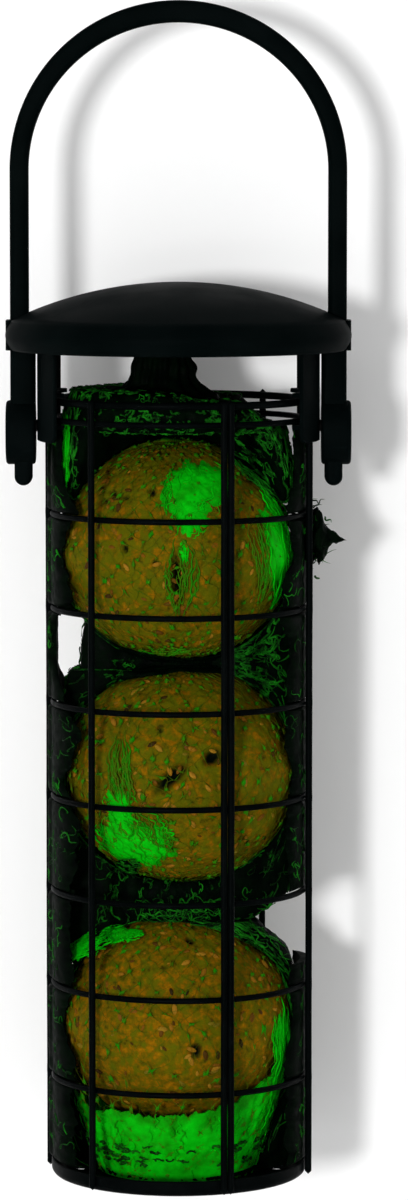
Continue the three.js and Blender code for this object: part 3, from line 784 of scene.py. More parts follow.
# The plate runs from its round hole out to a rounded rectangle, and both are wrapped on a cylinder
def makeBracket(side):
    inner = uprightRadius + cage["uprightWire"] / 2 + bracket["gap"]
    outer = inner + bracket["wall"]
    half = inner * radians(bracket["halfTurn"])
    tall, edge = bracket["above"] + bracket["below"], bracket["edge"]
    across, along = roundedSection(2 * half, tall, bracket["corner"], 14)
    rim = np.stack([across[0], along[0] + tall / 2 - bracket["below"]], axis=1)
    longer = np.linalg.norm(np.diff(rim, axis=0, append=rim[:1]), axis=1)
    where = np.concatenate([[0], np.cumsum(longer)])
    even = np.linspace(0, where[-1], 120, endpoint=False)
    closed = np.concatenate([rim, rim[:1]])
    rim = np.stack([np.interp(even, where, closed[:, i]) for i in range(2)], axis=1)
    hole = unit(rim) * bracket["hole"]
    shares = np.linspace(0, 1, 22)[:, None, None]
    face = hole + (rim - hole) * shares
    inset = face[-1] - unit(face[-1] - face[-2]) * edge
    flat = np.concatenate([face[:-1], inset[None], face[-1:], face[-1:], inset[None], face[-2::-1]])
    depth = np.concatenate([np.full(22, outer), [outer - edge], [inner + edge], np.full(22, inner)])
    r, turn = depth[:, None], flat[:, :, 0] / inner
    made = ringShape("bracket", np.stack([r * np.cos(turn), r * np.sin(turn), flat[:, :, 1]], axis=-1))
    rimTop = ringHeights[0] - pivotZ + cage["rimWire"] / 2 + bracket["lipGap"]
    hookTop = ringHeights[1] - pivotZ - cage["ringWire"] / 2 - bracket["lipGap"]
    lipIn, lipOut = inner - bracket["lipReach"], inner + bracket["wall"] / 2
    turns = bracket["upperHalfTurn"]
    takeFrom(made, arcBar("lip", (-turns, turns), lipIn, lipOut, rimTop, rimTop + bracket["lipWall"]),
             "UNION")
    for sign in (-1, 1):
        turns = sorted(sign * t for t in bracket["lowerTurns"])
        takeFrom(made, arcBar("hook", turns, lipIn, lipOut, hookTop - bracket["lipWall"], hookTop), "UNION")
    if side < 0:
        moved(made, Matrix.Rotation(np.pi, 4, "Z"))
    return moved(made, Matrix.Translation((0, 0, pivotZ)))


# A shank with a low dome at each end, turned about X
def makeRivet(name, side):
    low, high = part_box(name)
    start, end = (low[0], high[0]) if side > 0 else (-high[0], -low[0])
    head, shank, tall = (high[2] - low[2]) / 2, 1.6 * mm, 1.2 * mm
    dome = np.linspace(0, np.pi / 2, 8)
    cap = np.stack([head * np.sin(dome), tall * (1 - np.cos(dome)) * 0.7], axis=1)
    profile = np.concatenate([
        cap + [0, start], [[head, start + tall], [shank, start + tall], [shank, end - tall],
                           [head, end - tall]],
        (cap * [1, -1] + [0, end])[::-1],
    ])
    made = moved(turned(name, profile, 48), Matrix(np.array(xAxis).T.tolist()).to_4x4())
    if side < 0:
        moved(made, Matrix.Rotation(np.pi, 4, "Z"))
    return moved(made, Matrix.Translation((0, 0, pivotZ)))


for index, name in enumerate(ringNames):
    wire = cage["rimWire"] if index == 0 else cage["ringWire"]
    ring = makeRing(name.replace("mesh_ring", "meshRing").replace("rim_ring", "rimRing"),
                    ringHeights[index], wire, 100 + 3 * index)
    dress(ring, "cage", wireMaterial, "coated_wire", name)
for index, name in enumerate(uprightNames):
    wire = makeUpright(name, uprightTurns[index], 200 + index)
    wire.name = f"uprightWire_{index + 1}"
    dress(wire, "cage", wireMaterial, "coated_wire", name)
dress(makeDish(), "cage", wireMaterial, "coated_wire", "base_dish")
for side, word in ((-1, "left"), (1, "right")):
    plate = makeBracket(side)
    plate.name = f"{word}Bracket"
    dress(plate, "cage", plasticMaterial, "black_plastic", f"{word}_bracket")
    rivet = makeRivet(f"{word}_pivot_rivet", side)
    rivet.name = f"{word}Rivet"
    dress(rivet, "cage", rivetMaterial, "dark_rivet", f"{word}_pivot_rivet")
print("cage made")


# Suet balls

balls = {
    "rows": 134, "columns": 270, "underNet": 0.35 * mm, "swell": 0.4 * mm, "lump": 0.45 * mm,
    "crumb": 0.2 * mm, "seeds": 460,
    "dents": {
        "upper": [
            (1, -11, 6.6, 1.5, 3.0, 4), (-26, 5, 1.3, 0.8, 1.2, 30), (6, 24, 1.4, 1.0, 1.6, 60),
            (-54, 38, 1.3, 0.6, 0.9, 75), (-41, 35, 1.5, 0.6, 1.0, 70), (-31, 33, 1.1, 0.7, 0.9, 80),
            (-44, 30, 1.2, 0.6, 0.9, 60), (-14, 36, 1.4, 0.9, 1.2, 20), (-10, -2, 1.0, 0.6, 0.8, 10),
        ],
        "middle": [(-5, 4, 5.8, 1.9, 3.0, -50), (17, 15, 2.9, 1.9, 2.6, -60), (-12, 30, 1.2, 0.6, 0.8, 40)],
        "lower": [(12, 56, 1.6, 1.1, 2.0, 20), (10, -8, 2.2, 1.6, 1.2, 0)],
    },
}


class Ball:
    def __init__(self, level):
        netLow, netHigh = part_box(f"{level}_net")
        low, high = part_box(f"{level}_suet_ball")
        self.level = level
        self.centre = np.array([(netLow[0] + netHigh[0]) / 2, (netLow[1] + netHigh[1]) / 2,
                                (low[2] + high[2]) / 2])
        self.netRadius = (netHigh[0] - netLow[0]) / 2
        wall = self.netRadius - (high[0] - low[0]) / 2
        self.netHalf = (high[2] - low[2]) / 2 + wall
        self.radius = self.netRadius - balls["underNet"]
        self.half = self.netHalf - wall + balls["swell"]

    # A point of the egg at a turn from the front toward +X, a lift from its middle and a height off it
    def at(self, turn, lift, off=0.0):
        turn, lift = np.broadcast_arrays(turn, lift)
        flat = (self.radius + off) * np.cos(lift)
        return self.centre + np.stack([flat * np.sin(turn), -flat * np.cos(turn),
                                       (self.half + off) * np.sin(lift)], axis=-1)

    # Height of the egg over a radius, above (side 1) or below (side -1) its middle
    def level_at(self, radius, side, gap):
        share = np.clip(radius / (self.netRadius + gap), 0, 1)
        return self.centre[2] + side * (self.netHalf + gap) * np.sqrt(1 - share ** 2)


# The egg with lumps and crumbs on it, and dents pressed in where the seed has fallen out
def makeBall(ball, seed):
    lift = (np.arange(balls["rows"]) + 0.5) / balls["rows"] * np.pi - np.pi / 2
    turn = np.arange(balls["columns"]) * fullTurn / balls["columns"]
    turn, lift = np.meshgrid(turn, lift)
    ground = ball.at(turn, lift)
    off = balls["lump"] * ripples(ground, 16 * mm, seed) + balls["crumb"] * ripples(ground, 3.4 * mm,
                                                                                    seed + 1, 24)
    off += 0.7 * balls["crumb"] * ripples(ground, 1.6 * mm, seed + 2, 30) - balls["lump"] * 0.8
    pitShade = 0 * off
    for toTurn, toLift, long, wide, deep, tilt in balls["dents"][ball.level]:
        along = (lift - radians(toLift)) * ball.half / mm
        across = turnGap(turn, radians(toTurn)) * np.cos(lift) * ball.radius / mm
        tilt = radians(tilt)
        u = along * np.cos(tilt) - across * np.sin(tilt)
        v = along * np.sin(tilt) + across * np.cos(tilt)
        dentShade = np.exp(-((u / long) ** 2 + (v / wide) ** 2) ** 1.5)
        pitShade = np.maximum(pitShade, dentShade)
        off -= dentShade * deep * mm
    points = ball.at(turn, lift, np.minimum(off, 0.1 * mm))
    tips = np.array([points[0].mean(axis=0), points[-1].mean(axis=0)])
    # The dents' depth becomes the shade attribute: painted shade that darkens them
    shade = np.concatenate([np.clip(pitShade * 1.5 - 0.2, 0, 1).ravel(), [0, 0]])
    return tippedShape(f"{ball.level}SuetBall", points, tips, shade)


# Small flattened eggs laid in the surface at random, each a few faces
def makeSeeds(ball, seed):
    rng = np.random.default_rng(seed)
    count = balls["seeds"]
    lift = np.arcsin(rng.uniform(-0.97, 0.97, count))
    turn = rng.uniform(0, fullTurn, count)
    place = ball.at(turn, lift, -0.35 * mm)
    outward = unit(place - ball.centre)
    spin = unit(np.cross(outward, rng.normal(size=(count, 3))))
    cross = np.cross(outward, spin)
    size = rng.uniform(0.35, 1.0, count)
    long, wide, tall = (size * s * mm for s in (1.5, 0.75, 0.5))
    rows, columns = 4, 7
    up = (np.arange(rows) + 0.5) / rows * np.pi - np.pi / 2
    around = np.arange(columns) * fullTurn / columns
    a = np.sin(up)[:, None] + 0 * around
    b = np.cos(up)[:, None] * np.cos(around)
    c = np.cos(up)[:, None] * np.sin(around)
    local = np.concatenate([np.stack([a, b, c], axis=-1).reshape(-1, 3), [[-1, 0, 0], [1, 0, 0]]])
    axes = np.stack([spin * long[:, None], cross * wide[:, None], outward * tall[:, None]], axis=1)
    points = place[:, None] + np.einsum("pk,nkc->npc", local, axes)
    offset = (np.arange(count) * len(local))[:, None, None]
    faces = [(f + offset).reshape(-1, f.shape[1]) for f in (gridFaces(rows, columns, False),
                                                            tipFaces(rows, columns))]
    shade = np.repeat(rng.uniform(0, 1, count), len(local))
    return addMesh(f"{ball.level}Seeds", points.reshape(-1, 3), faces, shade)


eggs = {level: Ball(level) for level in ("upper", "middle", "lower")}
for index, (level, ball) in enumerate(eggs.items()):
    body = f"{level}_ball"
    dress(makeBall(ball, 11 + index * 7), body, suetMaterial, "suet", f"{level}_suet_ball")
    dress(makeSeeds(ball, 31 + index), body, seedMaterial, "suet")
print("suet balls made")


# Nets: long diamonds of thin strands over each ball, with a bright knot where two strands meet

nets = {
    "upper": {"strands": 92, "rows": 40, "thin": 0.04, "knot": 0.54, "drift": 2.0, "floor": None},
    "middle": {"strands": 88, "rows": 38, "thin": 0.04, "knot": 0.62, "drift": 2.3, "floor": None},
    "lower": {"strands": 70, "rows": 36, "thin": 0.04, "knot": 0.52, "drift": 1.7, "floor": -309.1 * mm},
}
cageRoom = 31.95 * mm
bag = {"coneRadius": 31.7 * mm, "coneZ": -276 * mm, "footRadius": 21.2 * mm}


# A point of the net: on the ball, but the lowest net hangs off its ball's underside and draws
# in as a cone down to the floor, at the larger of the ball's radius and the cone's
def netPoint(ball, turn, lift, off=0.0):
    floor = nets[ball.level]["floor"]
    if floor is None:
        return ball.at(turn, lift, off)
    turn, lift, off = np.broadcast_arrays(turn, lift, off)
    drop = ball.centre[2] - floor
    z = ball.centre[2] + np.where(lift < 0, drop, ball.half) * np.sin(lift)
    cone = np.interp(z, [floor, bag["coneZ"]], [bag["footRadius"], bag["coneRadius"]])
    egg = ball.radius * np.cos(lift)
    r = np.where(lift < 0, np.maximum(egg, np.minimum(cone, ball.radius)), egg) + off
    x0, y0 = ball.centre[:2]
    return np.stack([x0 + r * np.sin(turn), y0 - r * np.cos(turn), z], axis=-1)


# Strands that zigzag between their neighbours and lie beside them at each knot; smooth fields
# shift the net and set how thick and how bright each knot is
def makeNet(ball, seed):
    look = nets[ball.level]
    strands, rows = look["strands"], look["rows"]
    steps = rows * 4 + 1
    along = np.linspace(0, rows, steps)
    wave = np.clip(1.45 * (2 * np.abs((along / 2) % 1 * 2 - 1) - 1), -1, 1)
    number = np.arange(strands)[:, None]
    sign = 1 - 2 * (number % 2)
    turn = (number + 0.5 + 0.46 * sign * wave) / strands * fullTurn
    lift = (along / rows - 0.5) * np.pi * 0.965 + 0 * turn
    base = ball.at(turn, lift)
    drift = look["drift"] * mm / ball.radius
    turn = turn + 0.25 * (along / rows - 0.5) + drift * (ripples(base, 16 * mm, seed)
                                                         + 0.6 * ripples(base, 5 * mm, seed + 1))
    lift = lift + drift * (0.8 * ripples(base, 12 * mm, seed + 2) + 0.4 * ripples(base, 3.4 * mm, seed + 6))
    knot = np.exp(-((np.abs(wave) - 1) / 0.22) ** 2)
    some = np.clip(0.20 + 1.5 * ripples(base, 3.6 * mm, seed + 3), 0.0, 1.35)
    radius = (look["thin"] + (look["knot"] - look["thin"]) * knot * some) * mm
    off = 0.12 * mm + 0.22 * mm * np.clip(ripples(base, 9 * mm, seed + 4), -0.6, 1)
    paths = netPoint(ball, turn, np.clip(lift, -1.56, 1.56), off)
    shade = np.clip(0.05 + 0.95 * knot * some + 0.15 * ripples(base, 8 * mm, seed + 5), 0, 1)
    return tubePiece(f"{ball.level}Net", paths, radius, unit(paths - ball.centre), shade)


for index, (level, ball) in enumerate(eggs.items()):
    dress(makeNet(ball, 51 + index * 9), f"{level}_ball", netMaterial, "green_net", f"{level}_net")
print("nets made")


# Bunched net: ragged patches of crumpled net on a ball, each with loose strands combed over it

# Each row: ball, turn, lift, height off the ball, half width and half height in mm, tilt,
# raggedness, strands. Where the lift is a list, it is a height on the cage's wall instead.
bunches = [
    ("upper", 13, 40, 0, 8.4, 11.0, -26, 0.22, 20),
    ("upper", 8, 22, 0, 5.4, 5.5, -30, 0.40, 8),
    ("upper", 4, 3, 0, 1.2, 2.8, 4, 0.60, 4),
    ("upper", 67, 0, 0.1, 8.6, 13.5, 8, 0.30, 30),
    ("upper", 66, 25, 0.1, 3.4, 6.0, 10, 0.40, 14),
    ("upper", -77, [-114.5], -0.45, 5.4, 11.0, -4, 0.30, 22),
    ("middle", -31, -36, 0, 11.0, 9.5, 16, 0.30, 30),
    ("middle", -31, -14, 0, 4.6, 6.0, 16, 0.40, 14),
    ("lower", -70, 47, 5.8, 8.0, 5.0, 6, 0.42, 50),
    ("lower", -50, 57, 3.4, 7.0, 3.0, -4, 0.45, 22),
    ("lower", 68, -13, 0.1, 6.0, 11.5, 0, 0.3, 24),
]


# A point over a ball, from sizes across and up a patch that is turned by its tilt
def patchPoint(ball, turn, lift, tilt, u, v, off):
    tilt = radians(tilt)
    across = u * np.cos(tilt) - v * np.sin(tilt)
    along = u * np.sin(tilt) + v * np.cos(tilt)
    if isinstance(lift, list):
        spin = radians(turn) + across / cageRoom
        r = cageRoom + off
        return np.stack([r * np.sin(spin), -r * np.cos(spin), lift[0] * mm + along + 0 * spin], axis=-1)
    newLift = np.clip(radians(lift) + along / ball.half, -1.45, 1.45)
    newTurn = radians(turn) + across / (ball.radius * np.cos(radians(lift)))
    return netPoint(ball, newTurn, newLift, off)


# A lens: rings of growing and then shrinking radius over and under the ball's skin, its outline
# pulled in and out by waves, its top crumpled by waves
def makeBunch(name, ball, turn, lift, away, halfWide, halfTall, tilt, ragged, strands, seed):
    rows, columns = 30, 110
    share = np.concatenate([np.linspace(0.02, 1, rows), np.linspace(1, 0.02, rows // 2)])[:, None]
    top = np.concatenate([np.ones(rows), np.zeros(rows // 2)])[:, None]
    angle = np.arange(columns) * fullTurn / columns
    rim = np.stack([np.cos(angle), np.sin(angle), 0 * angle], axis=1)
    edge = 1 + ragged * (0.6 * ripples(rim, 2.0, seed) + 0.55 * ripples(rim, 0.55, seed + 1)
                         + 0.45 * ripples(rim, 0.2, seed + 2))
    u = share * edge * halfWide * np.cos(angle) * mm
    v = share * edge * halfTall * np.sin(angle) * mm
    ground = patchPoint(ball, turn, lift, tilt, u, v, 0.0)
    rise = 1 - share ** 3
    fold = 0.5 * ripples(ground * [1, 1, 0.4], 2.6 * mm, seed + 3) + 0.3 * ripples(ground, 1.6 * mm, seed + 4)
    off = (np.where(top > 0, rise * (0.55 + 0.35 * fold) - 0.2, -0.9 * rise - 0.2) + away) * mm
    points = patchPoint(ball, turn, lift, tilt, u, v, off)
    tips = np.array([points[0].mean(axis=0), points[-1].mean(axis=0)])
    shade = np.clip(0.2 + 0.7 * (1 - share ** 3) + 0.4 * ripples(ground, 5 * mm, seed + 5), 0, 1)
    return tippedShape(name, points, tips, np.concatenate([shade.ravel(), [0.5, 0.5]]))


# Strands combed up a patch: they run side by side, fan out a little and curl at random
def makeBunchStrands(name, ball, turn, lift, away, halfWide, halfTall, tilt, ragged, strands, seed):
    rng = np.random.default_rng(seed)
    t = np.linspace(-1, 1, 26)[None, :]
    across = rng.uniform(-1, 1, (strands, 1)) * 1.08
    middle = rng.uniform(-0.6, 0.6, (strands, 1))
    long = rng.uniform(0.3, 0.75, (strands, 1))
    v = middle + long * t
    u = across * (1 + 0.25 * v) + 0.10 * np.sin(3.1 * t + rng.uniform(0, 6, (strands, 1)))
    u = u + 0.05 * np.sin(9 * t + rng.uniform(0, 6, (strands, 1)))
    u, v = u * halfWide * mm * np.sqrt(np.clip(1.3 - v ** 2, 0.2, 1)), v * halfTall * mm
    off = rng.uniform(0.05, 0.5, (strands, 1)) * (1 - 0.5 * t ** 2) + 0.08 * np.sin(7 * t + across * 9) + away
    paths = patchPoint(ball, turn, lift, tilt, u, v, off * mm)
    radius = rng.uniform(0.12, 0.30, (strands, 1)) * mm * (1.02 - t ** 2) ** 0.4
    shade = rng.uniform(0.1, 1, strands) ** 0.8
    return tubePiece(name, paths, radius, unit(paths - ball.centre), shade)


for index, (level, *place) in enumerate(bunches):
    patch = makeBunch(f"{level}Bunch_{index + 1}", eggs[level], *place, 300 + 11 * index)
    dress(patch, f"{level}_ball", patchMaterial, "green_net")
    strands = makeBunchStrands(f"{level}BunchStrands_{index + 1}", eggs[level], *place, 700 + 11 * index)
    dress(strands, f"{level}_ball", patchMaterial, "green_net")

# Thin strands of the same kind where the net is only drawn together a little
hazes = [
    ("upper", 2, -9, 0, 4.6, 9.5, 0, 0.3, 22),
    ("upper", 50, -2, 0, 4.0, 13.0, 10, 0.3, 22),
    ("upper", -24, -64, 0, 10.0, 3.0, 10, 0.3, 30),
    ("middle", -20, -26, 0, 7.0, 9.0, 24, 0.3, 26),
    ("middle", -30, 4, 0, 3.6, 9.0, 10, 0.3, 40),
]
for index, (level, *place) in enumerate(hazes):
    strands = makeBunchStrands(f"{level}Haze_{index + 1}", eggs[level], *place, 1000 + 11 * index)
    dress(strands, f"{level}_ball", netMaterial, "green_net")
print("bunched net made")


# The foot of the lowest net: crumpled net with a ragged upper edge, down the cone to the dish
foot = {"topZ": -290.0 * mm, "ragged": 1.1 * mm, "rightRise": 8 * mm, "floor": -309.25 * mm,
        "wall": 0.7 * mm, "rows": 64, "columns": 360}


def conePoint(turn, z, off):
    ball = eggs["lower"]
    r = np.interp(z, [nets["lower"]["floor"], bag["coneZ"]], [bag["footRadius"], bag["coneRadius"]]) + off
    x0, y0 = ball.centre[:2]
    return np.stack([x0 + r * np.sin(turn), y0 - r * np.cos(turn), z + 0 * r], axis=-1)


def makeFoot():
    turn = np.arange(foot["columns"])[None, :] * fullTurn / foot["columns"]
    share = np.linspace(0, 1, foot["rows"])[:, None]
    rim = conePoint(turn, foot["topZ"] + 0 * turn, 0.0)
    edge = foot["ragged"] * (ripples(rim, 16 * mm, 71) + 0.6 * ripples(rim, 3 * mm, 72)
                             + 0.4 * ripples(rim, 1.2 * mm, 73))
    edge = edge + foot["rightRise"] * np.exp(-(turnGap(turn, radians(62)) / radians(26)) ** 2)
    z = (foot["topZ"] + edge) * (1 - share) + foot["floor"] * share
    line = conePoint(turn, z, 0.0)
    pleat = 0.35 * ripples(line * [1, 1, 0.35], 2.6 * mm, 74) + 0.22 * ripples(line, 2.2 * mm, 75)
    off = (0.25 + pleat * np.sin(np.pi * np.clip(share * 0.8 + 0.2, 0, 1)) ** 0.5) * mm
    grid = np.concatenate([conePoint(turn, z, off), conePoint(turn, z, off - foot["wall"])[::-1]])
    made = ringShape("footNet", grid)
    topZ = foot["topZ"] + foot["rightRise"] * np.exp(-(turnGap(turn, radians(62)) / radians(26)) ** 2)
    # Darker towards the ragged top edge: painted shade under the lowest ball
    fade = np.clip((topZ - grid[..., 2]) / (5 * mm), 0, 1)
    shade = np.clip(0.1 + 0.6 * fade + 0.5 * ripples(grid, 6 * mm, 76), 0, 1).ravel()
    made.data.attributes.new("shade", "FLOAT", "POINT").data.foreach_set("value", shade.astype(np.float32))
    return made


# Strands over the foot: most run down it, some short dark ones lie across it near the floor as painted shade
# in the net's gaps
def makeFootStrands(name, count, seed, lowZ, highZ, slant, long, thick, shadeRange):
    rng = np.random.default_rng(seed)
    t = np.linspace(-1, 1, 24)[None, :]
    size = rng.uniform(0.5, 1, (count, 1)) * long
    turn = rng.uniform(0, fullTurn,
        (count, 1)) + size * t * slant / 26 + 0.02 * np.sin(5 * t + rng.uniform(0, 6, (count, 1)))
    z = rng.uniform(lowZ, highZ,
                    (count, 1)) + size * t * (1 - slant) + 0.3 * np.sin(6 * t + rng.uniform(0, 6, (count, 1)))
    z = np.clip(z, -308.9, -284)
    off = rng.uniform(0.5, 0.95, (count, 1)) * mm - 0.3 * mm * t ** 2
    paths = conePoint(turn, z * mm, off)
    radius = rng.uniform(*thick, (count, 1)) * mm * (1.02 - t ** 2) ** 0.4
    outward = unit(paths - eggs["lower"].centre)
    return tubePiece(name, paths, radius, outward, rng.uniform(*shadeRange, count))


dress(makeFoot(), "lower_ball", patchMaterial, "green_net")
footStrands = makeFootStrands("footStrands", 90, 81, -307, -290, 0.12, 4.0, (0.12, 0.26), (0, 1))
dress(footStrands, "lower_ball", patchMaterial, "green_net")
footShadeDashes = makeFootStrands("footShadeDashes", 130, 82, -305.0, -299.0, 0.93, 2.0, (0.18, 0.42), (0, 0.5))
dress(footShadeDashes, "lower_ball", looseMaterial, "green_net")


# Folded net: rings of loose net that fill the grooves between ball and ball, or ball and cage, near black as
# painted shade for the gaps there. Each reach is a list of a turn from the front and a share of the cage's
# room there.

skin = 0.4 * mm
rings = {
    "neck": {"body": "upper_ball", "inner": 0.2, "reach": [(-180, 1.0), (0, 1.0)]},
    "wedge": {"body": "middle_ball", "inner": 0.3, "reach": [
        (-180, 1.0), (-140, 1.0), (-118, 0.88), (-84, 0.86), (-74, 0.50), (-40, 0.32), (0, 0.30),
        (60, 0.34), (74, 0.56), (86, 1.0),
    ]},
    "fold": {"body": "lower_ball", "inner": 0.1, "reach": [
        (-180, 1.0), (-84, 1.0), (-72, 0.66), (-50, 0.50), (0, 0.45), (40, 0.47), (70, 0.56), (90, 0.655),
        (122, 0.74), (145, 1.0),
    ]},
    "leftBelly": {"body": "middle_ball", "inner": 0.55, "reach": [
        (-180, 0.6), (-135, 0.7), (-118, 1.0), (-86, 1.0), (-74, 0.62), (0, 0.4), (90, 0.5), (150, 0.6),
    ]},
    "leftShoulder": {"body": "middle_ball", "inner": 0.5, "reach": [
        (-180, 0.6), (-135, 0.7), (-118, 1.0), (-84, 1.0), (-72, 0.62), (0, 0.4), (90, 0.5), (150, 0.6),
    ]},
    "rightBelly": {"body": "lower_ball", "inner": 0.5, "reach": [
        (-180, 0.6), (-90, 0.5), (0, 0.4), (60, 0.5), (72, 0.66), (84, 1.0), (118, 1.0), (138, 0.7),
    ]},
    "rightShoulder": {"body": "lower_ball", "inner": 0.5, "reach": [
        (-180, 0.6), (-90, 0.5), (-10, 0.4), (30, 0.5), (52, 0.68), (70, 0.86), (82, 1.0), (118, 1.0),
        (138, 0.7),
    ]},
    "skirt": {"body": "lower_ball", "inner": 0.66, "reach": [
        (-180, 1.0), (-92, 1.0), (-78, 0.72), (0, 0.70), (78, 0.72), (92, 1.0),
    ]},
}
# The see-through gap at the right, and the one at the left, lie between these heights
rightGap = {"inner": 20.9 * mm, "tip": -240.5 * mm, "top": -232.6 * mm, "bottom": -250.6 * mm}
leftGap = {"top": -158.2 * mm, "bottom": -172.8 * mm}
ringCrumple = {"rows": 240, "columns": 72, "clear": 0.3 * mm, "slack": 0.35, "coarse": 0.55, "fine": 0.35}


def reachAt(reach, turn):
    turns, shares = np.array(reach).T
    return (cageRoom - ringCrumple["clear"]) * np.interp(np.degrees(turn), turns, shares, period=360)


# From one size at the front and sides to another at the back, with slow waves over the turn
def spanAt(turn, front, back):
    behind = np.clip((np.degrees(np.abs(turnGap(turn, 0))) - 112) / 28, 0, 1)
    return front + (back - front) * behind + behind * (1.3 * np.sin(5 * turn)
                                                       + 0.9 * np.sin(11 * turn + 1)) * mm


# Lower and upper surface of each ring over radius and turn
def neckRoom(r, turn):
    side = np.sin(turn)
    front = np.clip((np.cos(turn) - 0.30) / 0.30, 0, 1)
    ball = eggs["upper"].level_at(r, 1, skin)
    frontLow = np.maximum(ball, -108.3 * mm)
    low = np.maximum(ball + (frontLow - ball) * front, spanAt(turn, -145 * mm, -118 * mm))
    drop = 6.4 * np.clip((side - 0.62) / 0.2, 0, 1) + 1.2 * np.clip(side, 0, 1)
    high = (-98.6 + 2.8 * np.clip(-side + 0.25, 0, 0.6) - drop) * mm + 0.06 * (20 * mm - r)
    return low, np.maximum(high, low + 0.5 * mm)


def wedgeRoom(r, turn):
    middle = (eggs["upper"].centre[2] + eggs["middle"].centre[2]) / 2
    half = spanAt(turn, 27 * mm, 12 * mm)
    low = np.maximum(eggs["middle"].level_at(r, 1, skin), middle - half)
    return low, np.minimum(eggs["upper"].level_at(r, -1, skin), middle + half)


def leftShoulderRoom(r, turn):
    low = np.maximum(eggs["middle"].level_at(r, 1, skin), eggs["middle"].centre[2] + 3 * mm)
    return low, np.maximum(low + 0.8 * mm, leftGap["bottom"])


def leftBellyRoom(r, turn):
    high = np.minimum(eggs["upper"].level_at(r, -1, skin), eggs["upper"].centre[2] - 1 * mm)
    return np.minimum(high - 0.8 * mm, leftGap["top"]), high


def rightShoulderRoom(r, turn):
    low = np.maximum(eggs["lower"].level_at(r, 1, skin), eggs["lower"].centre[2] + 3 * mm)
    edge = np.interp(r, [rightGap["inner"], cageRoom], [rightGap["tip"], rightGap["bottom"]])
    return low, np.maximum(low + 0.8 * mm, edge)


def rightBellyRoom(r, turn):
    high = np.minimum(eggs["middle"].level_at(r, -1, skin), eggs["middle"].centre[2] - 3 * mm)
    edge = np.interp(r, [rightGap["inner"], cageRoom], [rightGap["tip"], rightGap["top"]])
    return np.minimum(high - 0.8 * mm, edge), high


def foldRoom(r, turn):
    middle = (eggs["middle"].centre[2] + eggs["lower"].centre[2]) / 2
    half = spanAt(turn, 31 * mm, 14 * mm)
    low = np.maximum(eggs["lower"].level_at(r, 1, skin), middle - half)
    return low, np.minimum(eggs["middle"].level_at(r, -1, skin), middle + half)


def skirtRoom(r, turn):
    low = -309.3 * mm + 0 * r
    cone = np.interp(r, [bag["footRadius"], 31.2 * mm, cageRoom],
                     [nets["lower"]["floor"], -278 * mm, -265.5 * mm])
    high = np.minimum(cone - 1.4 * mm, spanAt(turn, -266 * mm, -293 * mm))
    return low, np.maximum(high, low + 0.3 * mm)


rooms = {
    "neck": neckRoom, "wedge": wedgeRoom, "fold": foldRoom, "skirt": skirtRoom,
    "leftShoulder": leftShoulderRoom, "leftBelly": leftBellyRoom,
    "rightShoulder": rightShoulderRoom, "rightBelly": rightBellyRoom,
}


# Place on a ring: the section angle runs round an oval between the inner and the outer radius,
# flattened against the surfaces below and above it; off moves a point out of the section
def ringPoint(name, turn, around, off=0.0):
    turn, around = np.broadcast_arrays(turn, around)
    outer = reachAt(rings[name]["reach"], turn)
    inner = outer * rings[name]["inner"]
    r = (outer + inner) / 2 + (outer - inner) / 2 * np.cos(around)
    low, high = rooms[name](r, turn)
    middle = (low + high) / 2
    z = middle + np.maximum(high - low, 0) / 2 * np.clip(1.6 * np.sin(around), -1, 1)
    lean = eggs[rings[name]["body"].replace("_ball", "")].centre[0] * 0.5
    point = np.stack([lean + r * np.sin(turn), -r * np.cos(turn), z], axis=-1)
    heart = (outer + inner) / 2
    lowHeart, highHeart = rooms[name](heart, turn)
    centre = np.stack([lean + heart * np.sin(turn), -heart * np.cos(turn), (lowHeart + highHeart) / 2],
                      axis=-1)
    return point + unit(point - centre) * np.asarray(off)[..., None]


def makeRingFold(name, seed):
    look = ringCrumple
    turn = np.arange(look["rows"])[:, None] * fullTurn / look["rows"]
    around = np.arange(look["columns"])[None, :] * fullTurn / look["columns"]
    base = ringPoint(name, turn, around)
    off = look["slack"] + look["coarse"] * np.abs(ripples(base, 5 * mm,
        seed)) + look["fine"] * np.abs(ripples(base, 1.8 * mm, seed + 1))
    points = ringPoint(name, turn, around, -off * mm)
    made = ringShape(f"{name}Fold", points)
    shade = np.clip(0.5 + 0.5 * ripples(base, 4 * mm, seed + 2), 0, 1)
    made.data.attributes.new("shade", "FLOAT", "POINT").data.foreach_set("value",
                                                                         shade.astype(np.float32).ravel())
    return made


# Curls of loose net over a ring: short walks through its two angles, made of random sines
def makeRingCurls(name, label, count, seed, turns, arounds, long=1.0, thick=(0.13, 0.30), bright=1.5):
    rng = np.random.default_rng(seed)
    t = np.linspace(-1, 1, 26)[None, :]
    heading = fullTurn * rng.uniform(-0.5, 0.5, (count, 1)) / max(long, 1)
    turn = np.radians(rng.uniform(*turns, (count, 1))) + 0.10 * long * np.cos(heading) * t
    around = rng.uniform(*arounds, (count, 1)) + 0.30 * min(long, 1) * np.sin(heading) * t
    for wave in (1.1, 2.1, 3.6):
        size = min(long, 1) / wave ** 0.7
        turn = turn + 0.045 * size * np.sin(np.pi * wave * t + rng.uniform(0, fullTurn, (count, 1)))
        around = around + 0.17 * size * np.sin(np.pi * wave * t + rng.uniform(0, fullTurn, (count, 1)))
    base = ringPoint(name, turn, around)
    off = (-0.25 + 0.35 * ripples(base, 3 * mm, seed)) * mm
    paths, inside = ringPoint(name, turn, around, off), ringPoint(name, turn, around, off - 1.0 * mm)
    radius = rng.uniform(*thick,
        (count, 1)) * mm * (1.03 - t ** 2) ** 0.4 * (1 + 0.4 * ripples(base, 2 * mm, seed + 1))
    shade = rng.uniform(0, 1, (count, 1)) ** bright * (0.75 + 0.35 * ripples(base, 3 * mm, seed + 2))
    radius = np.maximum(radius, 0.07 * mm)
    return tubePiece(label, paths, radius, unit(paths - inside), np.clip(shade, 0, 1))


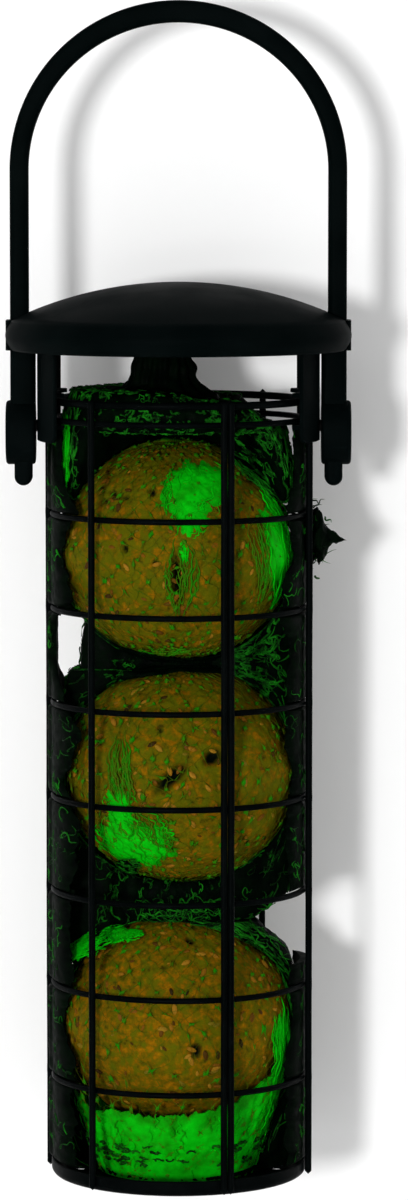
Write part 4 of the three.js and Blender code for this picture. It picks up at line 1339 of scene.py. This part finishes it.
owners = {"neck": "upper_net_end", "wedge": "middle_net_end", "fold": "lower_net_end",
          "skirt": "bottom_net_end"}
for index, name in enumerate(rings):
    replaced = [owners[name]] if name in owners else []
    dress(makeRingFold(name, 400 + 7 * index), rings[name]["body"], shadedFoldMaterial, "green_net", *replaced)

# Each row: ring, piece name, count, turns from the front, section angles, length, thickness
curlSets = [
    ("neck", "neckFrontCurls", 190, (-75, 40), (-1.2, 1.4), 0.42, (0.13, 0.34), 0.9),
    ("neck", "neckRightCurls", 150, (35, 105), (-1.6, 1.0), 0.45, (0.14, 0.36), 0.9),
    ("neck", "neckBackCurls", 150, (110, 285), (-1.6, 1.6), 0.8, (0.14, 0.30), 2.0),
    ("wedge", "wedgeRightCurls", 260, (66, 92), (-1.6, 1.6), 0.36, (0.14, 0.36), 1.0),
    ("wedge", "wedgeLeftCurls", 60, (-100, -60), (-1.5, 1.5), 0.4, (0.12, 0.28), 2.4),
    ("wedge", "wedgeBackCurls", 160, (92, 240), (-1.5, 1.5), 0.9, (0.12, 0.28), 2.2),
    ("fold", "foldArcs", 46, (-46, 60), (-1.5, -0.1), 5.5, (0.12, 0.24), 1.0),
    ("fold", "foldFrontCurls", 40, (-60, 70), (-0.6, 1.4), 0.5, (0.12, 0.24), 2.0),
    ("fold", "foldLeftCurls", 70, (-100, -60), (-1.5, 1.5), 0.45, (0.12, 0.26), 2.6),
    ("fold", "foldBackCurls", 150, (95, 250), (-1.5, 1.5), 0.9, (0.12, 0.28), 2.2),
    ("skirt", "skirtCurls", 120, (80, 280), (-1.5, 1.5), 0.8, (0.12, 0.26), 2.6),
    ("leftShoulder", "leftShoulderCurls", 60, (-100, -60), (-1.5, 1.5), 0.4, (0.12, 0.26), 1.8),
    ("leftBelly", "leftBellyCurls", 90, (-180, -76), (-1.5, 1.5), 0.6, (0.12, 0.26), 2.4),
    ("rightBelly", "rightBellyCurls", 90, (66, 140), (-1.5, 1.5), 0.5, (0.12, 0.26), 2.8),
    ("rightShoulder", "rightShoulderStreaks", 60, (24, 84), (-1.2, 1.4), 2.6, (0.12, 0.26), 1.2),
]
for index, (name, label, count, turns, arounds, long, thick, bright) in enumerate(curlSets):
    made = makeRingCurls(name, label, count, 500 + 9 * index, turns, arounds, long, thick, bright)
    dress(made, rings[name]["body"], looseMaterial, "green_net")
print("folded net made")


# Flaps of net that lie on a ball's shoulder: lens shapes as the bunches are, but near black as painted shade

# Each row: ball, turn, lift, half width and half height in mm, tilt, raggedness, curls
flaps = [
    ("upper", 80, 44, 0.4, 8.0, 9.0, 20, 0.3, 40),
    ("lower", -84, 20, 0.2, 3.4, 14.0, 6, 0.3, 20),
    ("lower", 84, 14, 0.2, 3.4, 12.0, -6, 0.3, 20),
    ("middle", -86, -12, 0, 3.4, 13.0, 4, 0.3, 12),
    ("middle", -56, -56, 0.6, 8.0, 3.0, 30, 0.35, 24),
]
for index, (level, *place) in enumerate(flaps):
    flap = makeBunch(f"{level}Flap_{index + 1}", eggs[level], *place, 800 + 11 * index)
    dress(flap, f"{level}_ball", shadedFoldMaterial, "green_net")
    strands = makeBunchStrands(f"{level}FlapStrands_{index + 1}", eggs[level], *place, 900 + 11 * index)
    dress(strands, f"{level}_ball", looseMaterial, "green_net")
print("flaps made")


# The neck's tail: pleats drawn together from the ruff up to the lid, near black as painted shade under the
# lid
def makeTail():
    tail = {"centreX": -4.1 * mm, "rows": 50, "columns": 140}
    heights = np.array([-100.5, -98.0, -96.0, -93.5, -91.0, -88.8]) * mm
    radii = np.array([15.0, 12.0, 9.4, 8.4, 8.0, 7.2]) * mm
    z = np.linspace(heights[0], heights[-1], tail["rows"])[:, None]
    r = np.interp(z, heights, radii)
    turn = np.arange(tail["columns"])[None, :] * fullTurn / tail["columns"]
    line = np.stack([r * np.sin(turn), -r * np.cos(turn), z + 0 * turn], axis=-1)
    pleat = 1 + 0.06 * np.sin(17 * turn + 3 * ripples(line, 20 * mm, 91)) + 0.05 * ripples(line, 4 * mm, 92)
    x, y = tail["centreX"] + r * pleat * np.sin(turn), -r * pleat * np.cos(turn)
    rings_ = np.stack([x, y, line[..., 2] + 0.5 * mm * ripples(line, 6 * mm, 93)], axis=-1)
    tips = np.array([rings_[0].mean(axis=0), rings_[-1].mean(axis=0)])
    shade = np.clip(0.4 + 0.4 * ripples(rings_, 5 * mm, 94), 0, 1)
    return tippedShape("neckTail", rings_, tips, np.concatenate([shade.ravel(), [0.4, 0.4]]))


dress(makeTail(), "upper_ball", shadedFoldMaterial, "green_net")


# Net that has worked its way out between the wires and is caught there, near black as painted shade for the
# dark band at the cage's sides: a crumpled pad in each mesh cell at the two sides, a thin band behind each
# ring that hides its far half in painted shade, and a tuft beside the second ring
pads = {
    "inner": 32.9 * mm, "outer": 34.45 * mm, "wall": 0.16 * mm, "ringGap": 0.04 * mm,
    "bandInner": 32.42 * mm, "bandWall": 0.1 * mm, "bandReach": 0.9 * mm, "past": 0.9 * mm, "pastTurn": 84,
    "seed": 950, "rows": 32, "columns": 56, "bandColumns": 8,
    "left": {
        "front": {
            -278: -58, -268: -70, -254: -59, -238: -64, -228: -60, -214: -51, -202: -68, -189: -51, -180: -68,
            -170: -84, -160: -84, -153: -58, -147: -62, -141: -70, -129: -55, -118: -70},
        "back": {-178: -112, -172: -98, -159: -98, -154: -112}, "hole": None},
    "right": {
        "front": {
            -276: 61, -267: 69, -256: 64, -238: 66, -228: 64, -212: 60, -201: 68, -190: 59, -170: 64,
            -152: 54,
            -141: 69, -130: 59, -120: 70},
        "back": {-200: 110}, "hole": (-251.6 * mm, -232.0 * mm)},
}


# Middle and half width of a pad's turn at a height, from its two tables of millimetres and degrees
def padTurns(side, z):
    front, back = [np.radians(np.interp(z / mm, list(pads[side][edge].keys()),
                                        list(pads[side][edge].values())))
                   for edge in ("front", "back")]
    return (front + back) / 2, np.abs(back - front) / 2 * np.sign(back)


# Height of a pad off the cage's wall: full to near its edges, and more where it clears the upright
def padSwell(turn, across, up):
    clear = np.clip((np.abs(np.degrees(turn)) - pads["pastTurn"]) / 3, 0, 1)
    full = pads["outer"] - pads["inner"] - pads["wall"] + pads["past"] * clear
    return full * np.clip(1 - np.abs(across) ** 6, 0, 1) * (1 - np.abs(up) ** 50)


# Over turn and height the outer skin swells from the cage's wall and falls back to it at the edges
# of the cell; the inner skin is the wall itself, and waves pull the two upright edges about
def makePad(name, side, lowZ, highZ, seed, swollen=True):
    across = np.linspace(-1, 1, pads["rows"])[:, None]
    up = np.linspace(-1, 1, pads["columns" if swollen else "bandColumns"])[None, :]
    z = (lowZ + highZ) / 2 + (highZ - lowZ) / 2 * up + 0 * across
    edge = np.stack([np.sign(across) * 9 * mm + 0 * z, 0 * z, z], axis=-1)
    ragged = 1 + 0.09 * ripples(edge, 7 * mm, seed + 5) + 0.06 * ripples(edge, 2.2 * mm, seed + 6)
    middle, half = padTurns(side, z)
    turn = middle + half * across * ragged
    inner = (pads["inner"] if swollen else pads["bandInner"]) + 0 * z
    line = np.stack([inner * np.sin(turn), -inner * np.cos(turn), z], axis=-1)
    outer = inner + (pads["wall"] if swollen else pads["bandWall"])
    if swollen:
        crumple = 1 - 0.08 * np.abs(ripples(line, 5 * mm, seed)) - 0.05 * np.abs(ripples(line, 1.8 * mm,
                                                                                         seed + 1))
        outer = outer + padSwell(turn, across, up) * crumple
    skins = [np.stack([r * np.sin(turn), -r * np.cos(turn), z], axis=-1) for r in (outer, inner)]
    return wallShape(name, *skins, lambda grid: np.clip(0.4 + 0.4 * ripples(grid, 4 * mm, seed + 2), 0, 1))


# Curls caught on the outside of the pads
def makePadCurls(name, side, lowZ, highZ, seed):
    rng = np.random.default_rng(seed)
    count, t = int((highZ - lowZ) / mm), np.linspace(-1, 1, 20)[None, :]
    across = rng.uniform(-0.85, 0.85, (count, 1))
    z = rng.uniform(lowZ + 2 * mm, highZ - 2 * mm, (count, 1))
    heading = rng.uniform(0, fullTurn, (count, 1))
    across, z = across + 0.22 * np.cos(heading) * t, z + 2.4 * mm * np.sin(heading) * t
    for wave in (1.3, 2.7):
        across = across + 0.09 / wave * np.sin(np.pi * wave * t + rng.uniform(0, fullTurn, (count, 1)))
        z = z + 1.2 * mm / wave * np.sin(np.pi * wave * t + rng.uniform(0, fullTurn, (count, 1)))
    z = np.clip(z, lowZ + 0.4 * mm, highZ - 0.4 * mm)
    middle, half = padTurns(side, z)
    turn = middle + half * across
    up = (z - (lowZ + highZ) / 2) / ((highZ - lowZ) / 2)
    r = pads["inner"] + pads["wall"] + padSwell(turn, across, up) * 0.9
    paths = np.stack([r * np.sin(turn), -r * np.cos(turn), z], axis=-1)
    radius = rng.uniform(0.12, 0.27, (count, 1)) * mm * (1.03 - t ** 2) ** 0.4
    outward = np.stack([np.sin(turn), -np.cos(turn), 0 * turn], axis=-1)
    return tubePiece(name, paths, radius, outward, rng.uniform(0, 1, count) ** 2.2)


# Spans of height that a side's hole leaves of each cell
def padSpans(cells, hole):
    spans = []
    for bottom, top in cells:
        if hole is None or top < hole[0] or bottom > hole[1]:
            spans.append((bottom, top))
        else:
            spans += [(bottom, hole[0]), (hole[1], top)]
    return [(bottom, top) for bottom, top in spans if top - bottom > 2 * mm]


clearOfRing = cage["ringWire"] / 2 + pads["ringGap"]
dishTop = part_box("base_dish")[1][2]
cellEdges = ringHeights[1:] + [dishTop - clearOfRing + 0.3 * mm]
cells = [(low + clearOfRing, high - clearOfRing) for high, low in zip(cellEdges[:-1], cellEdges[1:])]
halfBand = clearOfRing + pads["bandReach"]
bands = [(height - halfBand, height + halfBand) for height in ringHeights[3:]]
for side, seed in (("left", pads["seed"] + 40), ("right", pads["seed"])):
    for index, (bottom, top) in enumerate(padSpans(cells, pads[side]["hole"])):
        pad = makePad(f"{side}Pad_{index + 1}", side, bottom, top, seed + 3 * index)
        dress(pad, "cage", shadedFoldMaterial, "green_net")
        curls = makePadCurls(f"{side}PadCurls_{index + 1}", side, bottom, top, seed + 100 + 3 * index)
        dress(curls, "cage", looseMaterial, "green_net")
    for index, (bottom, top) in enumerate(padSpans(bands, pads[side]["hole"])):
        band = makePad(f"{side}Band_{index + 1}", side, bottom, top, seed + 80 + index, False)
        dress(band, "cage", shadedFoldMaterial, "green_net")


# A spiky tuft: rings along X that shrink to a point, pulled about by waves
def makeSpike():
    spike = {"startX": 32.2 * mm, "endX": 45.3 * mm, "z": -137.4 * mm, "drop": 1.0 * mm, "radius": 11.0 * mm}
    rows, columns = 50, 60
    share = np.linspace(0.02, 0.985, rows)[:, None]
    around = np.arange(columns)[None, :] * fullTurn / columns
    x = spike["startX"] + (spike["endX"] - spike["startX"]) * share
    size = spike["radius"] * (1 - share) ** 1.35 * (0.85 + 0.35 * np.exp(-((share - 0.45) / 0.12) ** 2))
    line = np.stack([x + 0 * around, size * np.cos(around), size * np.sin(around)], axis=-1)
    size = size * (1 + 0.28 * ripples(line, 4 * mm, 61) + 0.2 * ripples(line, 1.6 * mm, 62))
    z = spike["z"] - spike["drop"] * share ** 2 + size * np.sin(around)
    points = np.stack([x + 0 * around, 0.6 * size * np.cos(around), z], axis=-1)
    tips = np.array([points[0].mean(axis=0), points[-1].mean(axis=0) + [0.3 * mm, 0, 0]])
    shade = np.clip(0.5 + 0.5 * ripples(points, 3 * mm, 63), 0, 1)
    return tippedShape("sideTuft", points, tips, np.concatenate([shade.ravel(), [0.3, 0.3]]))


# Thorny strands that leave the tuft's heart in all directions and bend at random
def makeSpikeStrands():
    rng = np.random.default_rng(64)
    count, t = 70, np.linspace(0, 1, 18)[None, :, None]
    heart = np.array([34.5, 0, -137.4]) * mm + rng.normal(0, 1,
                                                          (count, 1, 3)) * np.array([1.8, 1.8, 4.0]) * mm
    way = unit(rng.normal(0, 1, (count, 1, 3)) * [0.6, 0.7, 1.0] + [0.75, 0, 0])
    bend = rng.normal(0, 1, (count, 1, 3)) * 1.5 * mm
    long = rng.uniform(1.8, 5.2, (count, 1, 1)) * mm
    paths = heart + way * long * t + bend * t ** 2 + 0.25 * mm * np.sin(9 * t
                                                                        + rng.uniform(0, 6, (count, 1, 3)))
    paths = np.clip(paths, np.array([32.3, -6.0, -148.5]) * mm, np.array([45.2, 6.0, -127.4]) * mm)
    radius = rng.uniform(0.14, 0.3, (count, 1)) * mm * (1.03 - t[..., 0] ** 3)
    outward = np.broadcast_to(np.array([0.1, -0.98, 0.15]), paths.shape)
    return tubePiece("sideTuftStrands", paths, radius, outward, rng.uniform(0, 1, count) ** 1.8)


# The tuft is near black: painted shade
dress(makeSpike(), "cage", shadedFoldMaterial, "green_net")
dress(makeSpikeStrands(), "cage", looseMaterial, "green_net")
print("loose net made")

makeCamera()
makeSky()
makeLamp()
makeStage()
bpy.context.scene.view_settings.view_transform = "Standard"

print("scene made")
